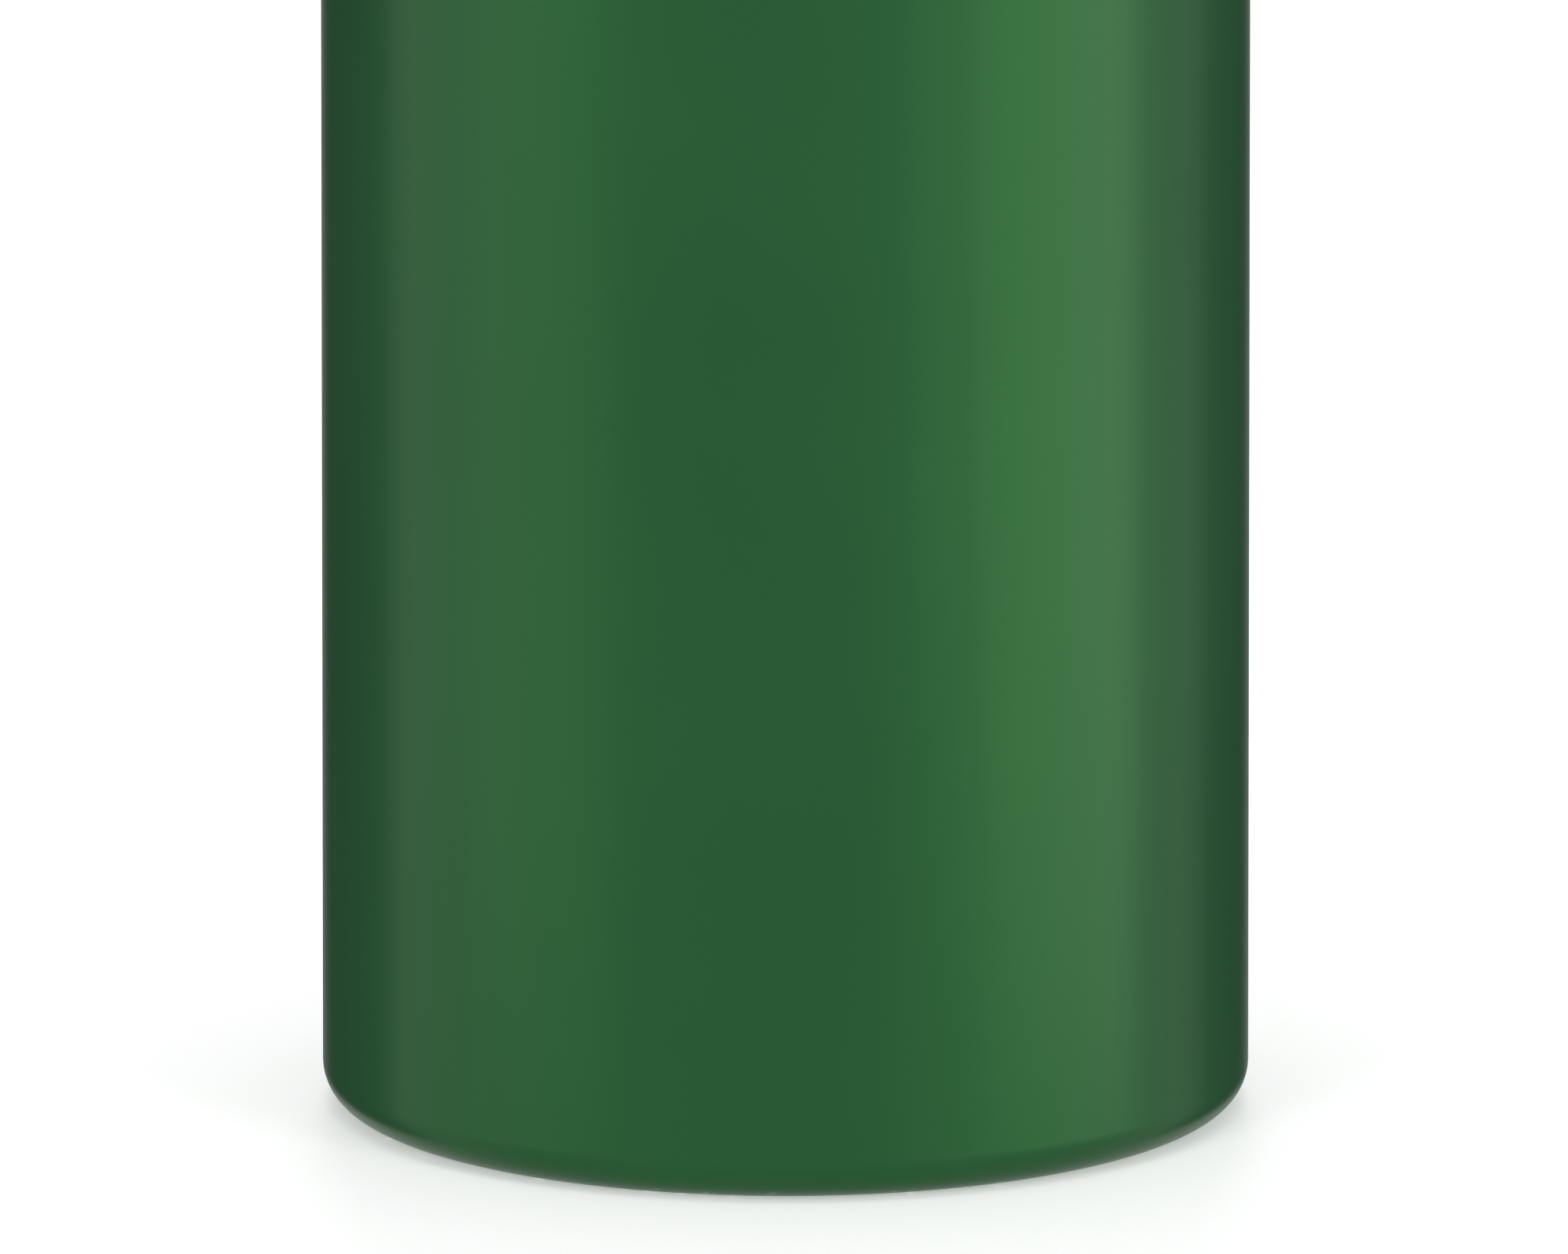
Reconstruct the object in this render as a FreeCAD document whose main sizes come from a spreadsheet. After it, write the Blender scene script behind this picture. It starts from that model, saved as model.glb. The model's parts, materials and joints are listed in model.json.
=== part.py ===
import FreeCAD, Part

# An E-size medical oxygen cylinder: a seamless aluminium shell, flat on its base, with a
# brass pin-index post valve, its safety relief plug, its toggle lever and its dust cap.
# Millimetres, +Z up. The origin is the centre of the base, the outlet faces -Y and the
# relief plug faces +Y. Every height on the valve is counted from the top of the neck.

import math
import os
from types import SimpleNamespace

import Sketcher

NODES_FOLDER = "parts"
FULL_TURN = 360.0
HEX_CORNER = 1.0 / math.sqrt(3.0)  # a hexagon's corner radius over its width across flats
CHAMFER_SLOPE = math.tan(math.radians(30.0))
CUT_CLEAR = 1.0  # how far a nut's chamfering cut starts outside its corners

# Each size that can be set by itself: its name in the sheet, its value, and what it is.
SIZES = [
    ("barrel_radius", 55.65, "outside radius of the barrel"),
    ("shell_height", 650.2, "base to neck top"),
    ("barrel_wall", 5.8, "wall of the barrel and shoulder"),
    ("base_thickness", 10.0, "metal at the middle of the base"),
    ("base_corner", 5.0, "outside radius between barrel and base"),
    ("base_inner_corner", 14.0, "inside radius between barrel and base"),
    ("dish_radius", 38.0, "rim radius of the shallow dish under the base"),
    ("dish_depth", 2.5, "depth of that dish"),
    ("shoulder_radius", 46.0, "radius of the rounded shoulder"),
    ("neck_radius", 19.5, "outside radius of the neck"),
    ("neck_fillet", 12.0, "hollow radius between shoulder and neck"),
    ("neck_straight", 6.0, "straight part of the neck"),
    ("neck_bore_radius", 9.525, "threaded bore of the neck"),
    ("neck_seal_width", 2.8, "width of the seal's recess in the neck top"),
    ("neck_seal_depth", 2.6, "depth of that recess"),
    ("flange_radius", 18.5, "round flange of the valve"),
    ("flange_height", 5.0, "its height"),
    ("shank_length", 20.0, "threaded shank below the flange"),
    ("post_width", 22.2, "valve post, side to side"),
    ("post_depth", 28.6, "valve post, front to back"),
    ("post_corner", 2.0, "radius of its upright edges"),
    ("post_chamfer", 1.0, "chamfer round its top"),
    ("inlet_radius", 2.5, "gas passage up the valve"),
    ("tube_radius", 4.0, "outside radius of the anti-debris tube"),
    ("tube_length", 60.0, "tube below the shank"),
    ("tube_socket", 8.0, "depth that the tube is pressed in"),
    ("chamber_radius", 7.2, "threaded chamber of the post"),
    ("orifice_radius", 2.0, "orifice through the seat"),
    ("orifice_length", 2.0, "orifice below the chamber floor"),
    ("lip_radius", 4.0, "raised lip of the seat"),
    ("lip_height", 2.0, "its height"),
    ("outlet_height", 34.0, "outlet above the neck top"),
    ("outlet_rise", 6.0, "outlet above the chamber floor"),
    ("outlet_radius", 3.5, "outlet bore"),
    ("recess_gap", 0.5, "radial gap round the yoke washer in its recess"),
    ("recess_depth", 0.8, "depth of the recess"),
    ("pin_index_radius", 14.3, "outlet centre to the pin-index holes"),
    ("pin_index_angle", 18.0, "angle of each hole from straight down, oxygen"),
    ("pin_hole_radius", 2.375, "pin-index hole"),
    ("pin_hole_depth", 5.5, "its depth"),
    ("dimple_radius", 4.5, "dimple that takes the yoke's screw"),
    ("dimple_depth", 3.5, "its depth"),
    ("relief_rise", 15.0, "relief plug above the neck top"),
    ("relief_radius", 4.75, "threaded hole of the relief plug"),
    ("relief_depth", 9.0, "its depth"),
    ("relief_passage_radius", 2.0, "passage from the relief hole to the inlet"),
    ("relief_flats", 12.7, "relief plug across flats"),
    ("relief_head", 8.0, "height of its hexagon"),
    ("relief_bore_radius", 2.0, "bore along the plug"),
    ("relief_cap_wall", 3.0, "closed outer end of that bore"),
    ("vent_radius", 1.2, "vent holes across the hexagon"),
    ("vent_rise", 4.0, "vents above the post's back"),
    ("slug_length", 7.0, "fusible slug in the plug's bore"),
    ("gasket_thickness", 0.8, "gasket under the burst disc"),
    ("disc_thickness", 0.3, "burst disc"),
    ("nut_step", 1.55, "gland nut's thread outside the chamber's radius"),
    ("nut_depth", 8.0, "its length in the post"),
    ("nut_flats", 19.0, "gland nut across flats"),
    ("nut_head", 8.0, "height of its hexagon"),
    ("nut_undercut", 1.35, "undercut of the nut for its seal"),
    ("nut_rebate", 0.55, "recess in the post top round that seal"),
    ("nut_seal_height", 2.0, "height of that recess"),
    ("thrust_thickness", 1.0, "thrust washer under the nut"),
    ("stem_radius", 3.95, "round part of the stem"),
    ("stem_flange_gap", 0.8, "stem flange to the chamber wall"),
    ("stem_flange_height", 2.4, "its height"),
    ("stem_seal_width", 2.3, "width of the stem seal's groove in the nut"),
    ("stem_seal_rise", 2.5, "nut's lower end to that groove"),
    ("tang_thickness", 3.0, "flat tang under the stem"),
    ("tang_gap", 2.2, "each side of the tang to the chamber wall"),
    ("tang_reach", 3.5, "how far the tang enters the plug's slot when shut"),
    ("square_side", 5.5, "square at the top of the stem"),
    ("square_clear", 0.4, "nut top to the start of the square"),
    ("plug_nose_wall", 1.05, "wall of the seat plug's nose round the disc"),
    ("plug_outlet_gap", 0.6, "outlet bore to the plug's threaded part, when shut"),
    ("plug_thread_height", 8.0, "threaded part of the seat plug"),
    ("plug_pitch", 1.411, "rise of the plug in one turn, 18 threads to the inch"),
    ("open_turns", 1.5, "turns from shut to fully open"),
    ("lift_gap", 0.5, "left above and below the tang's engagement at each end of the lift"),
    ("seat_overhang", 0.2, "soft seat disc outside the lip"),
    ("seat_thickness", 3.0, "thickness of the seat disc"),
    ("seat_pocket_depth", 2.0, "how far the plug holds the disc"),
    ("toggle_clear", 1.4, "nut top to the toggle"),
    ("hub_radius", 8.0, "hub of the toggle"),
    ("hub_height", 10.0, "its height"),
    ("toggle_length", 50.0, "toggle, tip to tip"),
    ("toggle_root_width", 12.0, "toggle arm beside the hub"),
    ("toggle_tip_radius", 4.5, "round end of each arm"),
    ("toggle_thickness", 7.0, "height of the arms"),
    ("toggle_round", 1.2, "rounding of the toggle's edges"),
    ("washer_radius", 4.5, "washer on top of the toggle"),
    ("washer_thickness", 0.8, "its thickness"),
    ("screw_radius", 1.45, "screw that holds the toggle"),
    ("screw_length", 8.0, "its length in the stem"),
    ("screw_head_radius", 3.4, "screw head"),
    ("screw_head_height", 2.2, "its height"),
    ("screw_socket_flats", 2.0, "hexagon socket of the screw"),
    ("screw_socket_depth", 1.3, "its depth"),
    ("yoke_ring_radius", 7.6, "metal ring of the yoke washer"),
    ("yoke_ring_wall", 2.0, "its width"),
    ("yoke_washer_thickness", 2.4, "rubber of the yoke washer"),
    ("yoke_ring_drop", 0.15, "metal ring below the rubber, each side"),
    ("yoke_hole_radius", 3.95, "hole through the washer"),
    ("cap_wall", 1.4, "wall of the dust cap"),
    ("cap_wrap", 12.0, "how far its sides reach along the post"),
    ("cap_above_washer", 4.4, "yoke washer to the cap's upper edge"),
    ("cap_below_pins", 6.0, "pin-index holes to the cap's lower edge"),
    ("cap_lip", 2.0, "lip over and under the cap's inner space"),
    ("cap_shelf", 1.1, "step at each side of that space"),
    ("cap_round", 2.5, "radius of the cap's front edges"),
    ("spigot_gap", 0.2, "spigot to the recess floor"),
    ("tab_width", 13.0, "pull tab of the cap"),
    ("tab_length", 11.0, "its length"),
    ("tab_thickness", 1.8, "its thickness"),
    ("edge_break", 0.8, "small chamfer on turned edges"),
    ("thread_gap", 0.1, "radial gap of a screwed joint"),
    ("press_gap", 0.02, "radial gap of a pressed or clamped piece"),
    ("running_gap", 0.05, "radial gap of a turning fit"),
    ("sliding_gap", 0.2, "gap round a piece that pulls off"),
]


class Size:
    """A length with its present value and the expression that keeps it tied to the sheet."""

    def __init__(self, value, text):
        self.value = value
        self.text = text

    def combine(self, other, sign, compute, swapped=False):
        if not isinstance(other, Size):
            other = Size(float(other), repr(float(other)))
        left, right = (other, self) if swapped else (self, other)
        return Size(compute(left.value, right.value), f"({left.text} {sign} {right.text})")

    def __add__(self, other):
        return self.combine(other, "+", lambda a, b: a + b)

    def __radd__(self, other):
        return self.combine(other, "+", lambda a, b: a + b, swapped=True)

    def __sub__(self, other):
        return self.combine(other, "-", lambda a, b: a - b)

    def __rsub__(self, other):
        return self.combine(other, "-", lambda a, b: a - b, swapped=True)

    def __mul__(self, other):
        return self.combine(other, "*", lambda a, b: a * b)

    def __rmul__(self, other):
        return self.combine(other, "*", lambda a, b: a * b, swapped=True)

    def __truediv__(self, other):
        return self.combine(other, "/", lambda a, b: a / b)

    def __neg__(self):
        return 0.0 - self

    def square(self):
        return self * self

    def root(self):
        return Size(math.sqrt(self.value), f"sqrt({self.text})")

    def sine(self):
        return Size(math.sin(math.radians(self.value)), f"sin({self.text} * 1 deg)")

    def cosine(self):
        return Size(math.cos(math.radians(self.value)), f"cos({self.text} * 1 deg)")


doc = FreeCAD.newDocument("OxygenCylinder")


def make_sheet():
    """Write every size into the document's spreadsheet, one aliased cell each."""
    sheet = doc.addObject("Spreadsheet::Sheet", "Sizes")
    for row, (name, value, words) in enumerate(SIZES, start=1):
        sheet.set(f"A{row}", words)
        sheet.set(f"B{row}", str(value))
        sheet.setAlias(f"B{row}", name)
    doc.recompute()
    return SimpleNamespace(**{name: Size(value, f"Sizes.{name}") for name, value, _ in SIZES})


s = make_sheet()

# Heights on the valve, from the neck top. They stack up from the outlet: the seat below it,
# then the plug and its lift, the stem's flange, the thrust washer and the gland nut.
chamber_floor = s.outlet_height - s.outlet_rise
seat_face = chamber_floor + s.lip_height
plug_low = seat_face + s.seat_thickness - s.seat_pocket_depth
plug_shoulder = s.outlet_height + s.outlet_radius + s.plug_outlet_gap
plug_top = plug_shoulder + s.plug_thread_height
plug_lift = s.plug_pitch * s.open_turns
stem_flange_low = plug_top + plug_lift + s.lift_gap
stem_flange_top = stem_flange_low + s.stem_flange_height
nut_end = stem_flange_top + s.running_gap + s.thrust_thickness
post_top = nut_end + s.nut_depth
nut_top = post_top + s.nut_head
toggle_low = nut_top + s.toggle_clear
toggle_top = toggle_low + s.hub_height
square_top = toggle_top - s.sliding_gap
pin_hole_x = s.pin_index_radius * s.pin_index_angle.sine()
pin_hole_height = s.outlet_height - s.pin_index_radius * s.pin_index_angle.cosine()

# Radii that follow the chamber, the nut and the seat.
nut_radius = s.chamber_radius + s.nut_step
nut_groove_radius = nut_radius - s.nut_undercut
nut_seal_radius = nut_radius + s.nut_rebate
seat_radius = s.lip_radius + s.seat_overhang
seat_pocket_radius = seat_radius + s.running_gap

# Distances from the valve's axis to the front and back faces of the post.
post_face = s.post_depth / 2
recess_floor = post_face - s.recess_depth
cap_face = recess_floor + s.yoke_washer_thickness + s.running_gap * 2


# ---------------------------------------------------------------- helpers for any piece


def number(length):
    return length.value if isinstance(length, Size) else float(length)


def bind(thing, prop, length):
    """Set a property of an object to a length, and tie it to the sheet."""
    if isinstance(length, Size):
        thing.setExpression(prop, length.text)
    else:
        setattr(thing, prop, length)


def new_body(name, base_height=None):
    """A body of its own, standing at a height above the base of the cylinder."""
    body = doc.addObject("PartDesign::Body", name)
    body.Label = name
    if base_height is not None:
        body.setExpression("Placement.Base.z", base_height.text)
    return body


def new_sketch(body, name, role, offset=None):
    """A sketch on one of the body's own origin planes, moved along that plane's normal."""
    sketch = body.newObject("Sketcher::SketchObject", name)
    plane = next(f for f in body.Origin.OriginFeatures if f.Role == role)
    sketch.AttachmentSupport = (plane, [""])
    sketch.MapMode = "FlatFace"
    if offset is not None:
        bind(sketch, "AttachmentOffset.Base.z", offset)
    return sketch


def fix_point(sketch, edge, end, u, v):
    """Hold one end of an edge, or a circle's centre, at its two coordinates."""
    for kind, length, axis in (("DistanceX", u, -2), ("DistanceY", v, -1)):
        if not isinstance(length, Size) and length == 0:
            sketch.addConstraint(Sketcher.Constraint("PointOnObject", edge, end, axis))
            continue
        index = sketch.addConstraint(
            Sketcher.Constraint(kind, -1, 1, edge, end, number(length))
        )
        bind_constraint(sketch, index, length)


def bind_constraint(sketch, index, length):
    if isinstance(length, Size):
        sketch.setExpression(f"Constraints[{index}]", length.text)


def arc_between(start, end, radius, turns_left):
    """The shorter arc from start to end, and whether it has to be drawn backwards."""
    chord = end - start
    across = FreeCAD.Vector(-chord.y, chord.x, 0).normalize()
    reach = math.sqrt(max(radius * radius - chord.Length * chord.Length / 4, 0.0))
    centre = (start + end) / 2 + across * (reach if turns_left else -reach)
    first, last = (start, end) if turns_left else (end, start)
    angles = [math.atan2(p.y - centre.y, p.x - centre.x) for p in (first, last)]
    if angles[1] < angles[0]:
        angles[1] += 2 * math.pi
    circle = Part.Circle(centre, FreeCAD.Vector(0, 0, 1), radius)
    return Part.ArcOfCircle(circle, *angles), not turns_left


def outline(sketch, points):
    """A closed outline. A point is (u, v), or (u, v, radius, side) where an arc arrives at
    it that turns to that side."""
    spots = [FreeCAD.Vector(number(p[0]), number(p[1]), 0) for p in points]
    ends = []
    for index, point in enumerate(points):
        start = spots[index - 1]
        if len(point) == 2:
            edge = sketch.addGeometry(Part.LineSegment(start, spots[index]))
            backwards = False
        else:
            arc, backwards = arc_between(start, spots[index], number(point[2]), point[3] == "left")
            edge = sketch.addGeometry(arc)
            row = sketch.addConstraint(Sketcher.Constraint("Radius", edge, number(point[2])))
            bind_constraint(sketch, row, point[2])
        ends.append((edge, (2, 1) if backwards else (1, 2)))
    for index, (edge, (first, last)) in enumerate(ends):
        next_edge, (next_first, _) = ends[(index + 1) % len(ends)]
        sketch.addConstraint(
            Sketcher.Constraint("Coincident", edge, last, next_edge, next_first)
        )
        fix_point(sketch, edge, last, points[index][0], points[index][1])
    return sketch


def circles(sketch, rows):
    """Whole circles, each given as (u, v, radius)."""
    for u, v, radius in rows:
        spot = FreeCAD.Vector(number(u), number(v), 0)
        circle = Part.Circle(spot, FreeCAD.Vector(0, 0, 1), number(radius))
        edge = sketch.addGeometry(circle)
        index = sketch.addConstraint(Sketcher.Constraint("Radius", edge, number(radius)))
        bind_constraint(sketch, index, radius)
        fix_point(sketch, edge, 3, u, v)
    return sketch


def rectangle(left, right, low, high):
    return [(left, low), (right, low), (right, high), (left, high)]


def rounded_rectangle(half_u, half_v, radius):
    """The outline of a rectangle about the origin with four round corners."""
    return [
        (half_u - radius, -half_v),
        (half_u, radius - half_v, radius, "left"),
        (half_u, half_v - radius),
        (half_u - radius, half_v, radius, "left"),
        (radius - half_u, half_v),
        (-half_u, half_v - radius, radius, "left"),
        (-half_u, radius - half_v),
        (radius - half_u, -half_v, radius, "left"),
    ]


def hexagon(across_flats):
    """The outline of a hexagon about the origin, with flats to the left and right."""
    half = across_flats / 2
    corner = across_flats * HEX_CORNER
    return [
        (half, -corner / 2),
        (half, corner / 2),
        (0, corner),
        (-half, corner / 2),
        (-half, -corner / 2),
        (0, -corner),
    ]


def revolve(body, sketch, kind="Revolution"):
    """Turn a sketch once round the vertical axis, adding or, as a Groove, cutting."""
    feature = body.newObject(f"PartDesign::{kind}", f"{sketch.Name}_{kind}")
    feature.Profile = sketch
    feature.ReferenceAxis = (sketch, ["V_Axis"])
    feature.Angle = FULL_TURN
    doc.recompute()
    return feature


def pad(body, sketch, length):
    """Add a sketch's outline for a length along its normal."""
    feature = body.newObject("PartDesign::Pad", f"{sketch.Name}_pad")
    feature.Profile = sketch
    bind(feature, "Length", length)
    doc.recompute()
    return feature


def pocket(body, sketch, length, along_normal=False, both_ways=False):
    """Cut a sketch's outline for a length, and make sure that it did cut."""
    before = body.Shape.Volume
    feature = body.newObject("PartDesign::Pocket", f"{sketch.Name}_cut")
    feature.Profile = sketch
    feature.Reversed = along_normal
    feature.Midplane = both_ways
    bind(feature, "Length", length)
    doc.recompute()
    assert body.Shape.Volume < before, f"{sketch.Name} cut nothing"
    return feature


def edges_at_height(feature, height):
    """Names of the feature's edges that lie at one height."""
    level = number(height)
    return [
        f"Edge{index}"
        for index, edge in enumerate(feature.Shape.Edges, start=1)
        if abs(edge.BoundBox.ZMin - level) < 1e-6 and abs(edge.BoundBox.ZMax - level) < 1e-6
    ]


def dress(body, kind, feature, edges, length):
    """A Chamfer or a Fillet on some edges of the body's last feature."""
    dressing = body.newObject(f"PartDesign::{kind}", f"{body.Name}_{kind}")
    dressing.Base = (feature, edges)
    bind(dressing, "Size" if kind == "Chamfer" else "Radius", length)
    doc.recompute()
    return dressing


def chamfer_hexagon(body, across_flats, top):
    """Turn the corners off the top of a hexagon, as on any nut."""
    inner = across_flats / 2
    outer = across_flats * HEX_CORNER + CUT_CLEAR
    drop = (outer - inner) * CHAMFER_SLOPE
    sketch = new_sketch(body, f"{body.Name}_corners", "XZ_Plane")
    outline(sketch, [(inner, top), (outer, top - drop), (outer, top)])
    revolve(body, sketch, "Groove")


def ring(name, inner, outer, low, high, base_height=s.shell_height):
    """A plain flat ring or, with no inner radius, a disc, round the vertical axis."""
    body = new_body(name, base_height)
    sketch = new_sketch(body, f"{name}_section", "XZ_Plane")
    outline(sketch, rectangle(inner, outer, low, high))
    revolve(body, sketch)
    return body


def o_ring(name, centre_radius, section_radius, height):
    """A round rubber ring at a height above the neck top."""
    torus = doc.addObject("Part::Torus", name)
    torus.Label = name
    bind(torus, "Radius1", centre_radius)
    bind(torus, "Radius2", section_radius)
    bind(torus, "Placement.Base.z", s.shell_height + height)
    return torus


def face_backwards(body):
    """Lay a piece that was drawn upright along +Y, out of the back of the post."""
    body.Placement = FreeCAD.Placement(
        FreeCAD.Vector(0, 0, 0), FreeCAD.Rotation(FreeCAD.Vector(1, 0, 0), -90)
    )
    bind(body, "Placement.Base.y", post_face)
    bind(body, "Placement.Base.z", s.shell_height + s.relief_rise)


def face_forwards(body):
    """Lay a piece that was drawn upright along -Y, out of the recess round the outlet."""
    body.Placement = FreeCAD.Placement(
        FreeCAD.Vector(0, 0, 0), FreeCAD.Rotation(FreeCAD.Vector(1, 0, 0), 90)
    )
    bind(body, "Placement.Base.y", -recess_floor)
    bind(body, "Placement.Base.z", s.shell_height + s.outlet_height)


# ---------------------------------------------------------------- the shell and its seal


def make_cylinder_shell():
    """One seamless hollow turning: dished base, barrel, domed shoulder and bored neck."""
    body = new_body("cylinder_shell")
    top = s.shell_height
    shoulder_centre = s.barrel_radius - s.shoulder_radius
    fillet_centre = s.neck_radius + s.neck_fillet
    reach = s.shoulder_radius + s.neck_fillet
    across = fillet_centre - shoulder_centre
    rise = (reach.square() - across.square()).root()
    fillet_height = top - s.neck_straight
    shoulder_height = fillet_height - rise
    meeting_radius = shoulder_centre + across * s.shoulder_radius / reach
    meeting_height = shoulder_height + rise * s.shoulder_radius / reach

    dish = (s.dish_radius.square() + s.dish_depth.square()) / (s.dish_depth * 2)
    inner_radius = s.barrel_radius - s.barrel_wall
    inner_shoulder = s.shoulder_radius - s.barrel_wall
    bore_offset = shoulder_centre - s.neck_bore_radius
    bore_low = shoulder_height + (inner_shoulder.square() - bore_offset.square()).root()
    floor = s.dish_depth + s.base_thickness
    seal_radius = s.neck_bore_radius + s.neck_seal_width

    sketch = new_sketch(body, "shell_section", "XZ_Plane")
    outline(sketch, [
        (0, s.dish_depth),
        (s.dish_radius, 0, dish, "right"),
        (s.barrel_radius - s.base_corner, 0),
        (s.barrel_radius, s.base_corner, s.base_corner, "left"),
        (s.barrel_radius, shoulder_height),
        (meeting_radius, meeting_height, s.shoulder_radius, "left"),
        (s.neck_radius, fillet_height, s.neck_fillet, "right"),
        (s.neck_radius, top - s.edge_break),
        (s.neck_radius - s.edge_break, top),
        (seal_radius, top),
        (seal_radius, top - s.neck_seal_depth),
        (s.neck_bore_radius, top - s.neck_seal_depth),
        (s.neck_bore_radius, bore_low),
        (inner_radius, shoulder_height, inner_shoulder, "right"),
        (inner_radius, floor + s.base_inner_corner),
        (inner_radius - s.base_inner_corner, floor, s.base_inner_corner, "right"),
        (0, floor),
    ])
    revolve(body, sketch)


def make_neck_o_ring():
    """The rubber ring that seals the valve's flange to the top of the neck."""
    shank_radius = s.neck_bore_radius - s.thread_gap
    outer_radius = s.neck_bore_radius + s.neck_seal_width
    section = s.neck_seal_depth / 2 - s.press_gap
    centre = (shank_radius + outer_radius) / 2
    o_ring("neck_o_ring", centre, section, -s.neck_seal_depth / 2)


# ---------------------------------------------------------------- the valve's body


def make_valve_body():
    """The brass forging: threaded shank, round flange and the square pin-index post."""
    body = new_body("valve_body", s.shell_height)
    turn_shank_and_flange(body)
    sketch = new_sketch(body, "post_plan", "XY_Plane", s.flange_height)
    outline(sketch, rounded_rectangle(s.post_width / 2, s.post_depth / 2, s.post_corner))
    post = pad(body, sketch, post_top - s.flange_height)
    dress(body, "Chamfer", post, edges_at_height(post, post_top), s.post_chamfer)
    bore_gas_passages(body)
    cut_outlet_face(body)
    cut_relief_hole(body)


def turn_shank_and_flange(body):
    shank_radius = s.neck_bore_radius - s.thread_gap
    sketch = new_sketch(body, "shank_section", "XZ_Plane")
    outline(sketch, [
        (0, -s.shank_length),
        (shank_radius - s.edge_break, -s.shank_length),
        (shank_radius, s.edge_break - s.shank_length),
        (shank_radius, 0),
        (s.flange_radius, 0),
        (s.flange_radius, s.flange_height - s.edge_break),
        (s.flange_radius - s.edge_break, s.flange_height),
        (0, s.flange_height),
    ])
    revolve(body, sketch)


def bore_gas_passages(body):
    """One stepped bore from the tube's socket, through the seat, to the gland nut."""
    socket_top = s.tube_socket - s.shank_length
    orifice_low = chamber_floor - s.orifice_length
    seal_low = post_top - s.nut_seal_height
    sketch = new_sketch(body, "passage_section", "XZ_Plane")
    outline(sketch, [
        (0, -s.shank_length),
        (s.tube_radius, -s.shank_length),
        (s.tube_radius, socket_top),
        (s.inlet_radius, socket_top),
        (s.inlet_radius, orifice_low),
        (s.orifice_radius, orifice_low),
        (s.orifice_radius, seat_face),
        (s.lip_radius, seat_face),
        (s.lip_radius, chamber_floor),
        (s.chamber_radius, chamber_floor),
        (s.chamber_radius, nut_end),
        (nut_radius, nut_end),
        (nut_radius, seal_low),
        (nut_seal_radius, seal_low),
        (nut_seal_radius, post_top),
        (0, post_top),
    ])
    revolve(body, sketch, "Groove")


def cut_outlet_face(body):
    """The outlet with its washer recess, and the two pin-index holes, in the front face."""
    recess = new_sketch(body, "recess_circle", "XZ_Plane", post_face)
    circles(recess, [(0, s.outlet_height, s.yoke_ring_radius + s.recess_gap)])
    pocket(body, recess, s.recess_depth)
    outlet = new_sketch(body, "outlet_circle", "XZ_Plane", post_face)
    circles(outlet, [(0, s.outlet_height, s.outlet_radius)])
    pocket(body, outlet, post_face)
    pins = new_sketch(body, "pin_index_circles", "XZ_Plane", post_face)
    circles(pins, [(side * pin_hole_x, pin_hole_height, s.pin_hole_radius) for side in (-1, 1)])
    pocket(body, pins, s.pin_hole_depth)


def cut_relief_hole(body):
    """The relief plug's hole, its passage to the inlet, and the yoke screw's dimple."""
    hole = new_sketch(body, "relief_circle", "XZ_Plane", -post_face)
    circles(hole, [(0, s.relief_rise, s.relief_radius)])
    pocket(body, hole, s.relief_depth, along_normal=True)
    passage = new_sketch(body, "relief_passage_circle", "XZ_Plane", -post_face)
    circles(passage, [(0, s.relief_rise, s.relief_passage_radius)])
    pocket(body, passage, post_face, along_normal=True)

    before = body.Shape.Volume
    dimple = body.newObject("PartDesign::SubtractiveCone", "screw_dimple")
    plane = next(f for f in body.Origin.OriginFeatures if f.Role == "XZ_Plane")
    dimple.AttachmentSupport = (plane, [""])
    dimple.MapMode = "FlatFace"
    bind(dimple, "AttachmentOffset.Base.y", s.outlet_height)
    bind(dimple, "AttachmentOffset.Base.z", -post_face)
    bind(dimple, "Radius1", s.dimple_radius)
    dimple.Radius2 = 0
    bind(dimple, "Height", s.dimple_depth)
    doc.recompute()
    assert body.Shape.Volume < before, "the dimple cut nothing"


def make_anti_debris_tube():
    """The short tube inside the cylinder that keeps loose scale out of the valve."""
    ring(
        "anti_debris_tube",
        s.inlet_radius,
        s.tube_radius - s.press_gap,
        -s.shank_length - s.tube_length,
        s.tube_socket - s.shank_length,
    )


# ---------------------------------------------------------------- the gland


def make_gland_nut():
    """The hexagon nut that shuts the chamber and guides the stem."""
    body = new_body("gland_nut", s.shell_height)
    thread_radius = nut_radius - s.thread_gap
    groove_low = post_top - s.nut_seal_height
    sketch = new_sketch(body, "nut_thread_section", "XZ_Plane")
    outline(sketch, [
        (0, nut_end),
        (thread_radius - s.edge_break, nut_end),
        (thread_radius, nut_end + s.edge_break),
        (thread_radius, groove_low),
        (nut_groove_radius, groove_low),
        (nut_groove_radius, post_top),
        (0, post_top),
    ])
    revolve(body, sketch)
    head = new_sketch(body, "nut_hexagon", "XY_Plane", post_top)
    outline(head, hexagon(s.nut_flats))
    pad(body, head, s.nut_head)
    chamfer_hexagon(body, s.nut_flats, nut_top)
    bore_gland_nut(body)


def bore_gland_nut(body):
    """The stem's bore, with the groove that holds its rubber ring."""
    bore_radius = s.stem_radius + s.running_gap
    groove_low = nut_end + s.stem_seal_rise
    groove_top = groove_low + s.stem_seal_width
    groove_radius = bore_radius + s.stem_seal_width
    sketch = new_sketch(body, "nut_bore_section", "XZ_Plane")
    outline(sketch, [
        (0, nut_end),
        (bore_radius, nut_end),
        (bore_radius, groove_low),
        (groove_radius, groove_low),
        (groove_radius, groove_top),
        (bore_radius, groove_top),
        (bore_radius, nut_top - s.edge_break),
        (bore_radius + s.edge_break, nut_top),
        (0, nut_top),
    ])
    revolve(body, sketch, "Groove")


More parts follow.
